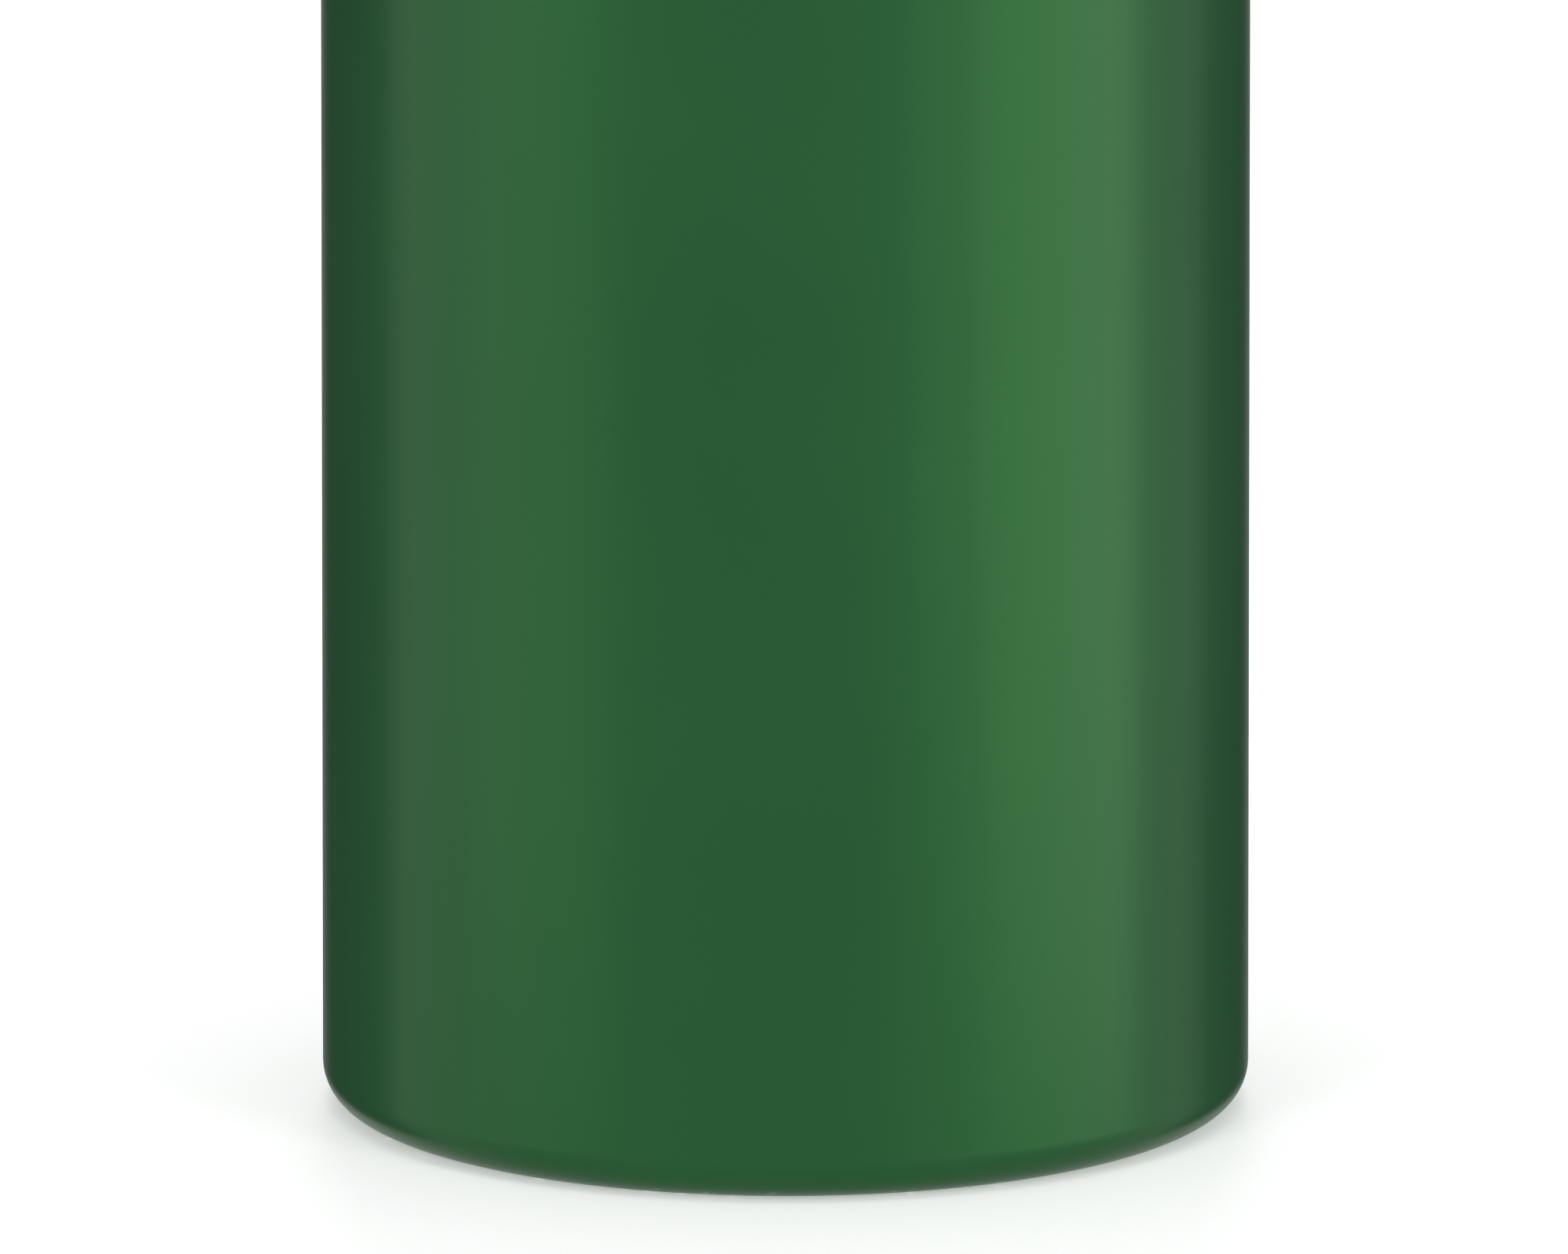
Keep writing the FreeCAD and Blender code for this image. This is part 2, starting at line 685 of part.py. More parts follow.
def make_gland_seals():
    """The rubber ring outside the nut, the one inside it, and the thrust washer below."""
    outer_centre = (nut_groove_radius + nut_seal_radius) / 2
    outer_section = (nut_seal_radius - nut_groove_radius) / 2 - s.press_gap
    o_ring("gland_o_ring", outer_centre, outer_section, post_top - s.nut_seal_height / 2)

    section = s.stem_seal_width / 2 - s.press_gap
    centre = s.stem_radius + s.running_gap + section
    height = nut_end + s.stem_seal_rise + s.stem_seal_width / 2
    o_ring("stem_o_ring", centre, section, height)

    ring(
        "thrust_washer",
        s.stem_radius + s.sliding_gap,
        s.chamber_radius - s.sliding_gap,
        nut_end - s.thrust_thickness,
        nut_end,
    )


# ---------------------------------------------------------------- the relief device


def make_relief_plug():
    """The vented hexagon plug, drawn upright from the post's back face."""
    body = new_body("relief_plug")
    shank = s.relief_depth - s.gasket_thickness - s.disc_thickness
    thread_radius = s.relief_radius - s.thread_gap
    sketch = new_sketch(body, "relief_shank_section", "XZ_Plane")
    outline(sketch, [
        (0, -shank),
        (thread_radius - s.edge_break, -shank),
        (thread_radius, s.edge_break - shank),
        (thread_radius, 0),
        (0, 0),
    ])
    revolve(body, sketch)
    head = new_sketch(body, "relief_hexagon", "XY_Plane")
    outline(head, hexagon(s.relief_flats))
    pad(body, head, s.relief_head)
    chamfer_hexagon(body, s.relief_flats, s.relief_head)

    bore = new_sketch(body, "relief_bore_circle", "XY_Plane", -shank)
    circles(bore, [(0, 0, s.relief_bore_radius)])
    pocket(body, bore, shank + s.relief_head - s.relief_cap_wall, along_normal=True)
    for role in ("XZ_Plane", "YZ_Plane"):
        vents = new_sketch(body, f"vent_circle_{role[:2]}", role)
        circles(vents, [(0, s.vent_rise, s.vent_radius)])
        pocket(body, vents, s.relief_flats * 2, both_ways=True)
    face_backwards(body)


def make_relief_inner_pieces():
    """Gasket, burst disc and fusible slug, in their order up the relief hole."""
    hole_floor = -s.relief_depth
    disc_low = hole_floor + s.gasket_thickness
    disc_top = disc_low + s.disc_thickness
    rim = s.relief_radius - s.sliding_gap
    face_backwards(
        ring("relief_gasket", s.relief_passage_radius, rim, hole_floor, disc_low, None)
    )
    face_backwards(ring("burst_disc", 0, rim, disc_low, disc_top, None))
    slug_radius = s.relief_bore_radius - s.press_gap
    face_backwards(
        ring("fusible_slug", 0, slug_radius, disc_top, disc_top + s.slug_length, None)
    )


# ---------------------------------------------------------------- the turning spindle


def make_upper_stem():
    """The spindle: tang, flange, round shank and the square that drives it."""
    body = new_body("upper_stem", s.shell_height)
    square_low = nut_top + s.square_clear
    flange_radius = s.chamber_radius - s.stem_flange_gap
    sketch = new_sketch(body, "stem_section", "XZ_Plane")
    outline(sketch, [
        (0, stem_flange_low),
        (flange_radius, stem_flange_low),
        (flange_radius, stem_flange_top),
        (s.stem_radius, stem_flange_top),
        (s.stem_radius, square_low),
        (0, square_low),
    ])
    revolve(body, sketch)
    tang_low = plug_top - s.tang_reach
    tang = new_sketch(body, "tang_plan", "XY_Plane", tang_low)
    half_width = s.chamber_radius - s.tang_gap
    half_thickness = s.tang_thickness / 2
    outline(tang, rectangle(-half_width, half_width, -half_thickness, half_thickness))
    pad(body, tang, stem_flange_low - tang_low)
    square = new_sketch(body, "square_plan", "XY_Plane", square_low)
    half = s.square_side / 2
    outline(square, rectangle(-half, half, -half, half))
    pad(body, square, square_top - square_low)
    hole = new_sketch(body, "screw_hole_circle", "XY_Plane", square_top)
    circles(hole, [(0, 0, s.screw_radius + s.running_gap)])
    pocket(body, hole, s.screw_length + s.sliding_gap)


def make_toggle_lever():
    """The two-armed lever, lying front to back so that a yoke slips down over it."""
    body = new_body("toggle_lever", s.shell_height)
    arms_low = toggle_low + s.toggle_clear
    arms_top = arms_low + s.toggle_thickness
    arms = new_sketch(body, "toggle_plan", "XY_Plane", arms_low)
    outline(arms, toggle_plan())
    arms_pad = pad(body, arms, s.toggle_thickness)
    rims = edges_at_height(arms_pad, arms_top) + edges_at_height(arms_pad, arms_low)
    dress(body, "Fillet", arms_pad, rims, s.toggle_round)
    hub = new_sketch(body, "hub_circle", "XY_Plane", toggle_low)
    circles(hub, [(0, 0, s.hub_radius)])
    hub_pad = pad(body, hub, s.hub_height)
    rims = edges_at_height(hub_pad, toggle_top) + edges_at_height(hub_pad, toggle_low)
    dress(body, "Chamfer", hub_pad, rims, s.edge_break)
    square = new_sketch(body, "toggle_square", "XY_Plane", toggle_low)
    half = s.square_side / 2 + s.running_gap
    outline(square, rectangle(-half, half, -half, half))
    pocket(body, square, s.hub_height, along_normal=True)


def toggle_plan():
    """The arms seen from above: straight sides that touch a middle circle and two ends."""
    root = s.toggle_root_width / 2
    tip = s.toggle_tip_radius
    reach = s.toggle_length / 2 - tip
    lean = (root - tip) / reach
    side = (1.0 - lean.square()).root()
    tip_x = tip * side
    tip_y = reach + tip * lean
    root_x = root * side
    root_y = root * lean
    return [
        (root_x, root_y, root, "left"),
        (tip_x, tip_y),
        (-tip_x, tip_y, tip, "left"),
        (-root_x, root_y),
        (-root_x, -root_y, root, "left"),
        (-tip_x, -tip_y),
        (tip_x, -tip_y, tip, "left"),
        (root_x, -root_y),
    ]


def make_toggle_fixings():
    """The washer and the socket screw that hold the toggle on its square."""
    washer_top = toggle_top + s.washer_thickness
    ring("toggle_washer", s.screw_radius + s.sliding_gap, s.washer_radius, toggle_top, washer_top)

    body = new_body("toggle_screw", s.shell_height)
    head_top = washer_top + s.screw_head_height
    sketch = new_sketch(body, "screw_section", "XZ_Plane")
    outline(sketch, [
        (0, square_top - s.screw_length),
        (s.screw_radius, square_top - s.screw_length),
        (s.screw_radius, washer_top),
        (s.screw_head_radius, washer_top),
        (s.screw_head_radius, head_top - s.edge_break),
        (s.screw_head_radius - s.edge_break, head_top, s.edge_break, "left"),
        (0, head_top),
    ])
    revolve(body, sketch)
    socket = new_sketch(body, "screw_socket", "XY_Plane", head_top)
    outline(socket, hexagon(s.screw_socket_flats))
    pocket(body, socket, s.screw_socket_depth)


# ---------------------------------------------------------------- the lifting seat


def make_seat_plug():
    """The threaded plug that the tang turns, and that screws down on the seat."""
    body = new_body("seat_plug", s.shell_height)
    thread_radius = s.chamber_radius - s.thread_gap
    nose_radius = seat_pocket_radius + s.plug_nose_wall
    pocket_top = plug_low + s.seat_pocket_depth
    sketch = new_sketch(body, "plug_section", "XZ_Plane")
    outline(sketch, [
        (0, pocket_top),
        (seat_pocket_radius, pocket_top),
        (seat_pocket_radius, plug_low),
        (nose_radius, plug_low),
        (nose_radius, plug_shoulder),
        (thread_radius, plug_shoulder),
        (thread_radius, plug_top),
        (0, plug_top),
    ])
    revolve(body, sketch)
    slot = new_sketch(body, "plug_slot", "XY_Plane", plug_top)
    half = s.tang_thickness / 2 + s.sliding_gap / 2
    outline(slot, rectangle(-s.chamber_radius, s.chamber_radius, -half, half))
    pocket(body, slot, s.tang_reach + plug_lift + s.lift_gap)


def make_seat_disc():
    """The soft disc, held in the plug's nose, that is pressed on the seat's lip."""
    ring("seat_disc", 0, seat_radius, seat_face, seat_face + s.seat_thickness)


# ---------------------------------------------------------------- the dust cap


def make_dust_cap():
    """The moulded cap that clips round the front of the post and holds the yoke washer."""
    body = new_body("dust_cap", s.shell_height)
    low = pin_hole_height - s.pin_hole_radius - s.cap_below_pins
    height = s.outlet_height + s.yoke_ring_radius + s.cap_above_washer - low
    half_space = s.post_width / 2 + s.sliding_gap
    half_width = half_space + s.cap_wall
    front = cap_face + s.cap_wall
    back = s.cap_wrap - post_face
    plan = new_sketch(body, "cap_plan", "XY_Plane", low)
    outline(plan, [
        (-half_width, back),
        (-half_width, s.cap_round - front),
        (s.cap_round - half_width, -front, s.cap_round, "left"),
        (half_width - s.cap_round, -front),
        (half_width, s.cap_round - front, s.cap_round, "left"),
        (half_width, back),
    ])
    pad(body, plan, height)
    post_front = post_face + s.running_gap
    post_space = new_sketch(body, "cap_post_space", "XY_Plane", low)
    outline(post_space, rectangle(-half_space, half_space, -post_front, back))
    pocket(body, post_space, height, along_normal=True)
    half_inner = half_space - s.cap_shelf
    inner = new_sketch(body, "cap_inner_space", "XY_Plane", low + s.cap_lip)
    outline(inner, rectangle(-half_inner, half_inner, -cap_face, -post_face))
    pocket(body, inner, height - s.cap_lip * 2, along_normal=True)
    add_spigot_and_tab(body, low, front)


def add_spigot_and_tab(body, low, front):
    """The spigot that carries the washer, and the tab that a finger pulls."""
    spigot_end = recess_floor + s.spigot_gap
    spigot = new_sketch(body, "spigot_circle", "XZ_Plane", spigot_end)
    circles(spigot, [(0, s.outlet_height, s.yoke_hole_radius - s.thread_gap)])
    pad(body, spigot, front - s.cap_wall / 2 - spigot_end)
    tab = new_sketch(body, "tab_plan", "XY_Plane", low)
    half = s.tab_width / 2
    tab_end = front + s.tab_length
    outline(tab, [
        (half, -front + s.cap_wall / 2),
        (-half, -front + s.cap_wall / 2),
        (-half, s.cap_round - tab_end),
        (s.cap_round - half, -tab_end, s.cap_round, "left"),
        (half - s.cap_round, -tab_end),
        (half, s.cap_round - tab_end, s.cap_round, "left"),
    ])
    pad(body, tab, s.tab_thickness)


def make_yoke_washer():
    """The bonded washer for the regulator's yoke: a rubber ring inside a metal ring."""
    low = s.running_gap
    high = low + s.yoke_washer_thickness
    bond_radius = s.yoke_ring_radius - s.yoke_ring_wall
    face_forwards(
        ring("outlet_washer_seal", s.yoke_hole_radius, bond_radius - s.press_gap, low, high, None)
    )
    metal_low = low + s.yoke_ring_drop
    metal_high = high - s.yoke_ring_drop
    face_forwards(
        ring("outlet_washer_ring", bond_radius, s.yoke_ring_radius, metal_low, metal_high, None)
    )


# ---------------------------------------------------------------- checks and files


def make_everything():
    make_cylinder_shell()
    make_neck_o_ring()
    make_valve_body()
    make_anti_debris_tube()
    make_gland_nut()
    make_gland_seals()
    make_relief_plug()
    make_relief_inner_pieces()
    make_upper_stem()
    make_toggle_lever()
    make_toggle_fixings()
    make_seat_plug()
    make_seat_disc()
    make_dust_cap()
    make_yoke_washer()
    doc.recompute()


def check_document():
    """Stop before anything is written if an object failed or a piece isn't one solid."""
    for thing in doc.Objects:
        bad = {"Invalid", "Error"} & set(thing.State)
        assert not bad, f"{thing.Label} is {bad}"
    for piece in pieces():
        shape = piece.Shape
        assert not shape.isNull() and shape.isValid(), f"{piece.Label} has no valid shape"
        assert len(shape.Solids) == 1, f"{piece.Label} is {len(shape.Solids)} solids"


def pieces():
    kinds = ("PartDesign::Body", "Part::Torus")
    return [thing for thing in doc.Objects if thing.TypeId in kinds]


def write_pieces():
    os.makedirs(NODES_FOLDER, exist_ok=True)
    for piece in pieces():
        piece.Shape.exportStep(os.path.join(NODES_FOLDER, f"{piece.Label}.step"))
        print(f"{piece.Label}: {piece.Shape.Volume / 1000:.3f} cm3")


make_everything()
check_document()
write_pieces()
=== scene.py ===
# %% [markdown]
# # A green oxygen cylinder and its pin-index valve
# A small hospital oxygen cylinder is one hollow piece of aluminium, painted all over, with a
# plated brass valve screwed into its neck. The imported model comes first: it is the fixed
# frame that every piece here is built around. All lengths are metres.

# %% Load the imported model
import json
import math

import bpy
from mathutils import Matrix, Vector

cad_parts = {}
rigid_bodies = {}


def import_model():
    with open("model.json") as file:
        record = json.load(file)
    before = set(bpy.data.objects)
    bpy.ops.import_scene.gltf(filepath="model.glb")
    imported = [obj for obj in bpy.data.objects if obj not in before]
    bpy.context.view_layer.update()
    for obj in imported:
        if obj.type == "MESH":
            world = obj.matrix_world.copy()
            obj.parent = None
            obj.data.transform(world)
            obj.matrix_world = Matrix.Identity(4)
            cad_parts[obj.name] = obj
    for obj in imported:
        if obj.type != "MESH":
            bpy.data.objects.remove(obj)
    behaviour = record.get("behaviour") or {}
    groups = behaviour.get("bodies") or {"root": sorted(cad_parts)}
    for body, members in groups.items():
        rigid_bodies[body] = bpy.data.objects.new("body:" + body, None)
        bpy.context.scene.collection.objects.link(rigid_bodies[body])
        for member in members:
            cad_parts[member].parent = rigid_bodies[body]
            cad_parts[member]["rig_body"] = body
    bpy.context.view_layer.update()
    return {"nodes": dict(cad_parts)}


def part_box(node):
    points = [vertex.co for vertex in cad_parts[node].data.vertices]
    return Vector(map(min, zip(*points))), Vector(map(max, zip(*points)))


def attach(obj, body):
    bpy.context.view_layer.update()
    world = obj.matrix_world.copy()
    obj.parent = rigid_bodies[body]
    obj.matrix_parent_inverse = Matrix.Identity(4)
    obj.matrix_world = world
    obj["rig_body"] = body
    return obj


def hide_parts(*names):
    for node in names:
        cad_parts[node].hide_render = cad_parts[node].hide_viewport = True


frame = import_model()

nodes = frame["nodes"]

# %% [markdown]
# ## The camera
# The cylinder is far too large for the frame, and is seen a little from above: its sides run
# out of the top of the picture. A long lens from far away keeps the two sides parallel. The
# camera looks at a point a hair beside the cylinder's axis, about one radius above the ground,
# so that the base sits low in the frame.

# %% Place the camera
BARREL_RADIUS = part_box("cylinder_shell")[1].x
VIEW_PITCH = math.radians(12.87)  # how far the camera looks down
LENS = 1200.0  # millimetres
SENSOR = 36.0  # millimetres
BARREL_SHARE = 0.5917  # barrel's width over the picture's width
FAR_ENOUGH = 100  # how many times farther than the cylinder the camera still sees
AIM_HEIGHT = 1.0413 * BARREL_RADIUS
AIM_SIDE = -0.0034 * BARREL_RADIUS

distance = 2 * BARREL_RADIUS / BARREL_SHARE * LENS / SENSOR
aim = Vector((AIM_SIDE, 0, AIM_HEIGHT))
viewwards = Vector((0, -math.cos(VIEW_PITCH), math.sin(VIEW_PITCH)))

camera = bpy.data.objects.new("camera", bpy.data.cameras.new("camera"))
bpy.context.scene.collection.objects.link(camera)
camera.data.lens = LENS
camera.data.sensor_width = SENSOR
camera.data.clip_end = distance * FAR_ENOUGH
camera.location = aim + viewwards * distance
camera.rotation_euler = (math.pi / 2 - VIEW_PITCH, 0, 0)
bpy.context.scene.camera = camera
print("camera stands", round(distance, 2), "m away")

# %% [markdown]
# ## Shader sums written as sums
# A material here is a small tree of nodes. Wiring each sum by hand hides what it does, so a
# `Wire` stands for one socket: adding, subtracting, multiplying or dividing wires adds the
# Math nodes. Every other node comes from `Finish.node`, which sets the node's own settings
# first and then fills its sockets with values or wires.

# %% A wire and a finish


class Wire:
    """One output socket of a material's nodes, with sums that add Math nodes."""

    def __init__(self, finish, socket):
        self.finish = finish
        self.socket = socket

    def sum(self, operation, first, second):
        settings = {"operation": operation}
        return self.finish.node("ShaderNodeMath", {0: first, 1: second}, settings)

    def __add__(self, other):
        return self.sum("ADD", self, other)

    def __radd__(self, other):
        return self.sum("ADD", other, self)

    def __sub__(self, other):
        return self.sum("SUBTRACT", self, other)

    def __rsub__(self, other):
        return self.sum("SUBTRACT", other, self)

    def __mul__(self, other):
        return self.sum("MULTIPLY", self, other)

    def __rmul__(self, other):
        return self.sum("MULTIPLY", other, self)

    def __truediv__(self, other):
        return self.sum("DIVIDE", self, other)


class Finish:
    """One material: a Principled shader, and the nodes that vary it over the surface."""

    def __init__(self, name, **sockets):
        self.material = bpy.data.materials.new(name)
        self.material.use_nodes = True
        self.tree = self.material.node_tree
        self.shader = self.tree.nodes["Principled BSDF"]
        for socket, value in sockets.items():
            self.set(socket.replace("_", " "), value)

    def fill(self, socket, value):
        if isinstance(value, Wire):
            self.tree.links.new(value.socket, socket)
        elif socket.type == "RGBA" and len(value) == 3:
            socket.default_value = (*value, 1.0)
        else:
            socket.default_value = value

    def set(self, socket, value):
        self.fill(self.shader.inputs[socket], value)

    def node(self, kind, inputs, settings=None, stops=None, output=0):
        made = self.tree.nodes.new(kind)
        for name, value in (settings or {}).items():
            setattr(made, name, value)
        for index, (place, value) in enumerate(stops or []):
            ramp = made.color_ramp.elements
            stop = ramp[index] if index < 2 else ramp.new(place)
            stop.position = place
            stop.color = (value, value, value, 1.0)
        for name, value in inputs.items():
            self.fill(made.inputs[name], value)
        return Wire(self, made.outputs[output])

    def place(self):
        """The point on the object, in metres in the frame's own directions."""
        return self.node("ShaderNodeTexCoord", {}, output="Object")

    def stretched(self, x=1.0, y=1.0, z=1.0):
        return self.node("ShaderNodeMapping", {"Vector": self.place(), "Scale": (x, y, z)})

    def noise(self, size, detail=2.0, vector=None, roughness=0.5):
        """Cloudy noise from 0 to 1, whose lumps are about `size` metres across."""
        inputs = {"Vector": vector or self.place(), "Scale": 1.0 / size}
        inputs.update({"Detail": detail, "Roughness": roughness})
        return self.node("ShaderNodeTexNoise", inputs)

    def ramp(self, value, stops):
        return self.node("ShaderNodeValToRGB", {"Fac": value}, stops=stops)

    def blend(self, factor, first, second):
        """Mix two colours. A Mix node has one set of sockets for each kind of data."""
        settings = {"data_type": "RGBA"}
        inputs = {0: factor, 6: first, 7: second}
        return self.node("ShaderNodeMix", inputs, settings, output=2)

    def along(self, axis):
        return self.node("ShaderNodeSeparateXYZ", {"Vector": self.place()}, output=axis)

    def bump(self, surface, depth, strength=1.0):
        """Raise the surface by up to `depth` metres where `surface` is 1."""
        inputs = {"Height": surface, "Distance": depth, "Strength": strength}
        self.set("Normal", self.node("ShaderNodeBump", inputs))

    def dress(self, *things):
        for thing in things:
            thing.data.materials.clear()
            thing.data.materials.append(self.material)
        return self


# %% [markdown]
# ## The studio
# The cylinder stands on a white floor that runs on for metres, so no far edge of it is ever
# seen. Most of the light comes evenly from a pale room, and three soft fills, one of them
# behind, and a large box overhead give the shapes a light side. The barrel's broad bands are
# reflections of tall cards beside it: a bright one on the right with a weaker one in front of
# it, and two dim ones on the left. Paint is darkest where it mirrors something dark, so two
# dark screens stand behind. Cards and screens are seen only in reflections, and the floor is
# left out of them.

# %% Floor, cards, fills and screens
FLOOR_SIZE = 120.0
CARD_LOW = -0.085  # a card's foot, which the barrel mirrors a little above its own
CARD_TOP = 0.62
CARD_REACH = 0.34  # from the cylinder's axis
FILL_REACH = 1.3
FILL_HEIGHT = 0.60
FILL_SIZE = (0.4, 1.3)
FILL_POWER = 5.0  # watts
TOP_HEIGHT = 2.2
TOP_SIZE = (2.0, 2.0)
TOP_POWER = 12.0
SCREEN_LOW = -0.14
SCREEN_SIDE = 0.20
SCREEN_END = 0.60
SCREEN_GLOW = 0.04
VINYL = 0.9
# The floor's glow is weaker close to the cylinder, which paints a soft shadow round its foot.
PAINTED_SHADOW_START = 0.06  # the floor's own light grows from here
PAINTED_SHADOW_END = 0.6  # to here, from the cylinder's axis
PAINTED_SHADOW_GLOW = 0.38
OPEN_GLOW = 0.22  # what is added to it farther out
ROOM_LIGHT = 0.5
BACKDROP_LIGHT = 1.05


def hide_from_camera(thing):
    thing.visible_camera = False
    return thing


def spot_round(azimuth, reach, height):
    """A place round the cylinder: azimuth 0 is the camera's side, 90 is the right."""
    turn = math.radians(azimuth)
    return Vector((math.sin(turn) * reach, -math.cos(turn) * reach, height))


def soft_box(name, azimuth, reach, height, size, power):
    """An area light that faces the cylinder's axis, at its own height or straight down."""
    light = bpy.data.lights.new(name, "AREA")
    light.shape = "RECTANGLE"
    light.size, light.size_y = size
    light.energy = power
    box = bpy.data.objects.new(name, light)
    bpy.context.scene.collection.objects.link(box)
    box.location = spot_round(azimuth, reach, height)
    away = Vector((0, 0, 1)) if reach == 0 else spot_round(azimuth, reach, 0)
    box.rotation_euler = away.to_track_quat("Z", "Y").to_euler()
    return hide_from_camera(box)


def card(name, azimuth, spread, glow):
    """A tall light seen only in gloss, `spread` degrees wide as the cylinder sees it."""
    width = 2 * CARD_REACH * math.tan(math.radians(spread / 2))
    tall = CARD_TOP - CARD_LOW
    power = glow * math.pi * width * tall
    made = soft_box(name, azimuth, CARD_REACH, CARD_LOW + tall / 2, (width, tall), power)
    made.visible_diffuse = False
    return made


def fill(name, azimuth):
    """A soft light that shapes things but is not mirrored."""
    made = soft_box(name, azimuth, FILL_REACH, FILL_HEIGHT, FILL_SIZE, FILL_POWER)
    made.visible_glossy = False
    return made


def plain_material(name, colour, roughness):
    return Finish(name, Base_Color=(colour, colour, colour), Roughness=roughness)


def deselect():
    bpy.ops.object.select_all(action="DESELECT")


def dark_screen(name, side, start):
    """A dull wall beside and behind the cylinder, running straight back from `start`."""
    middle = (side * SCREEN_SIDE, (start + SCREEN_END) / 2, (SCREEN_LOW + CARD_TOP) / 2)
    deselect()
    bpy.ops.mesh.primitive_plane_add(size=1.0, location=middle, rotation=(0, math.pi / 2, 0))
    screen = bpy.context.object
    screen.name = name
    screen.scale = (CARD_TOP - SCREEN_LOW, SCREEN_END - start, 1.0)
    dull = plain_material(name, 0.0, 1.0)
    dull.set("Specular IOR Level", 0.0)
    dull.set("Emission Color", (1.0, 1.0, 1.0))
    dull.set("Emission Strength", SCREEN_GLOW)
    dull.dress(screen)
    screen.visible_diffuse = False
    screen.visible_shadow = False
    hide_from_camera(screen)


def floor_with_painted_shadow():
    """White vinyl glowing of its own, less round the cylinder's foot: a painted shadow."""
    finish = plain_material("white_floor", VINYL, 0.5)
    length = {"operation": "LENGTH"}
    away = finish.node("ShaderNodeVectorMath", {0: finish.place()}, length, output="Value")
    reach = {"Value": away, "From Min": PAINTED_SHADOW_START, "From Max": PAINTED_SHADOW_END}
    # Painted shadow: less glow near the cylinder's axis, more farther out.
    glow = PAINTED_SHADOW_GLOW + OPEN_GLOW * finish.node("ShaderNodeMapRange", reach)
    finish.set("Emission Color", finish.node("ShaderNodeCombineXYZ", dict.fromkeys("XYZ", glow)))
    finish.set("Emission Strength", 1.0)
    return finish


deselect()
bpy.ops.mesh.primitive_plane_add(size=FLOOR_SIZE)
floor = bpy.context.object
floor.name = "studio_floor"
floor_with_painted_shadow().dress(floor)
floor.visible_diffuse = False
floor.visible_glossy = False
floor.visible_shadow = False

card("right_card", azimuth=69, spread=44, glow=1.75)
card("right_near_card", azimuth=38, spread=20, glow=0.65)
card("left_card", azimuth=-90, spread=30, glow=0.28)
card("left_near_card", azimuth=-60, spread=36, glow=0.72)
fill("right_fill", azimuth=40)
fill("left_fill", azimuth=-30)
fill("back_fill", azimuth=180)
soft_box("top_box", 0, 0.0, TOP_HEIGHT, TOP_SIZE, TOP_POWER)
dark_screen("left_screen", side=-1, start=0.045)
dark_screen("right_screen", side=1, start=0.085)

world = bpy.data.worlds.new("studio_air")
bpy.context.scene.world = world
world.use_nodes = True
air = world.node_tree
room = air.nodes["Background"]
room.inputs["Color"].default_value = (1.0, 1.0, 1.0, 1.0)
room.inputs["Strength"].default_value = ROOM_LIGHT
sweep = air.nodes.new("ShaderNodeBackground")
sweep.inputs["Strength"].default_value = BACKDROP_LIGHT
ray = air.nodes.new("ShaderNodeLightPath")
mix = air.nodes.new("ShaderNodeMixShader")
air.links.new(ray.outputs["Is Camera Ray"], mix.inputs[0])
air.links.new(room.outputs[0], mix.inputs[1])
air.links.new(sweep.outputs[0], mix.inputs[2])
air.links.new(mix.outputs[0], air.nodes["World Output"].inputs["Surface"])
bpy.context.scene.view_settings.view_transform = "Standard"
print("studio set")

# %% [markdown]
# ## Turned pieces
# The shell is drawn from one thick disc of aluminium and its neck is closed by spinning, so it
# is round about one axis everywhere. On a screen that is a lathe job: half of its section is
# drawn as a chain of points, then spun round the axis. The chain starts as one vertex and grows
# by extruding it from point to point, just as it would be drawn by hand.

# %% A lathe
DRAWN_ONCE = 1e-7  # drawn points nearer than this are one point
SEAM = 1e-6  # and so are points on both sides of the spun seam


def arc(centre, radius, first, last, steps):
    """Points along an arc in the (r, z) plane. Angles are degrees from the outward direction."""
    turns = [math.radians(first + (last - first) * i / steps) for i in range(steps + 1)]
    return [(centre[0] + radius * math.cos(t), centre[1] + radius * math.sin(t)) for t in turns]


def draw_chain(points):
    """Draw a chain of edges in the XZ plane from a single vertex."""
    deselect()
    bpy.ops.mesh.primitive_plane_add(size=0.001)
    bpy.ops.object.mode_set(mode="EDIT")
    bpy.ops.mesh.select_all(action="SELECT")
    bpy.ops.mesh.merge(type="CENTER")
    here = Vector((points[0][0], 0, points[0][1]))
    bpy.ops.transform.translate(value=here)
    for r, z in points[1:]:
        there = Vector((r, 0, z))
        bpy.ops.mesh.extrude_vertices_move(TRANSFORM_OT_translate={"value": there - here})
        here = there
    bpy.ops.mesh.select_all(action="SELECT")
    bpy.ops.mesh.remove_doubles(threshold=DRAWN_ONCE)


def turned(name, points, steps, sharp=35.0):
    """A piece turned on a lathe round the cylinder's own axis."""
    draw_chain(points)
    bpy.ops.mesh.spin(steps=steps, angle=2 * math.pi, center=(0, 0, 0), axis=(0, 0, 1))
    bpy.ops.mesh.select_all(action="SELECT")
    bpy.ops.mesh.remove_doubles(threshold=SEAM)
    bpy.ops.mesh.normals_make_consistent(inside=False)
    bpy.ops.object.mode_set(mode="OBJECT")
    piece = bpy.context.object
    piece.name = name
    bpy.ops.object.shade_smooth_by_angle(angle=math.radians(sharp))
    print(name, "has", len(piece.data.polygons), "faces")
    return piece


# %% [markdown]
# ## The shell
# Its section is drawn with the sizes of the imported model: a shallow dish under the base, a
# small round corner, the straight barrel, the rounded shoulder and the hollow curve that
# leads into the neck. The wall and the inside are drawn too, so that the mesh is a real
# hollow cylinder and not a skin.

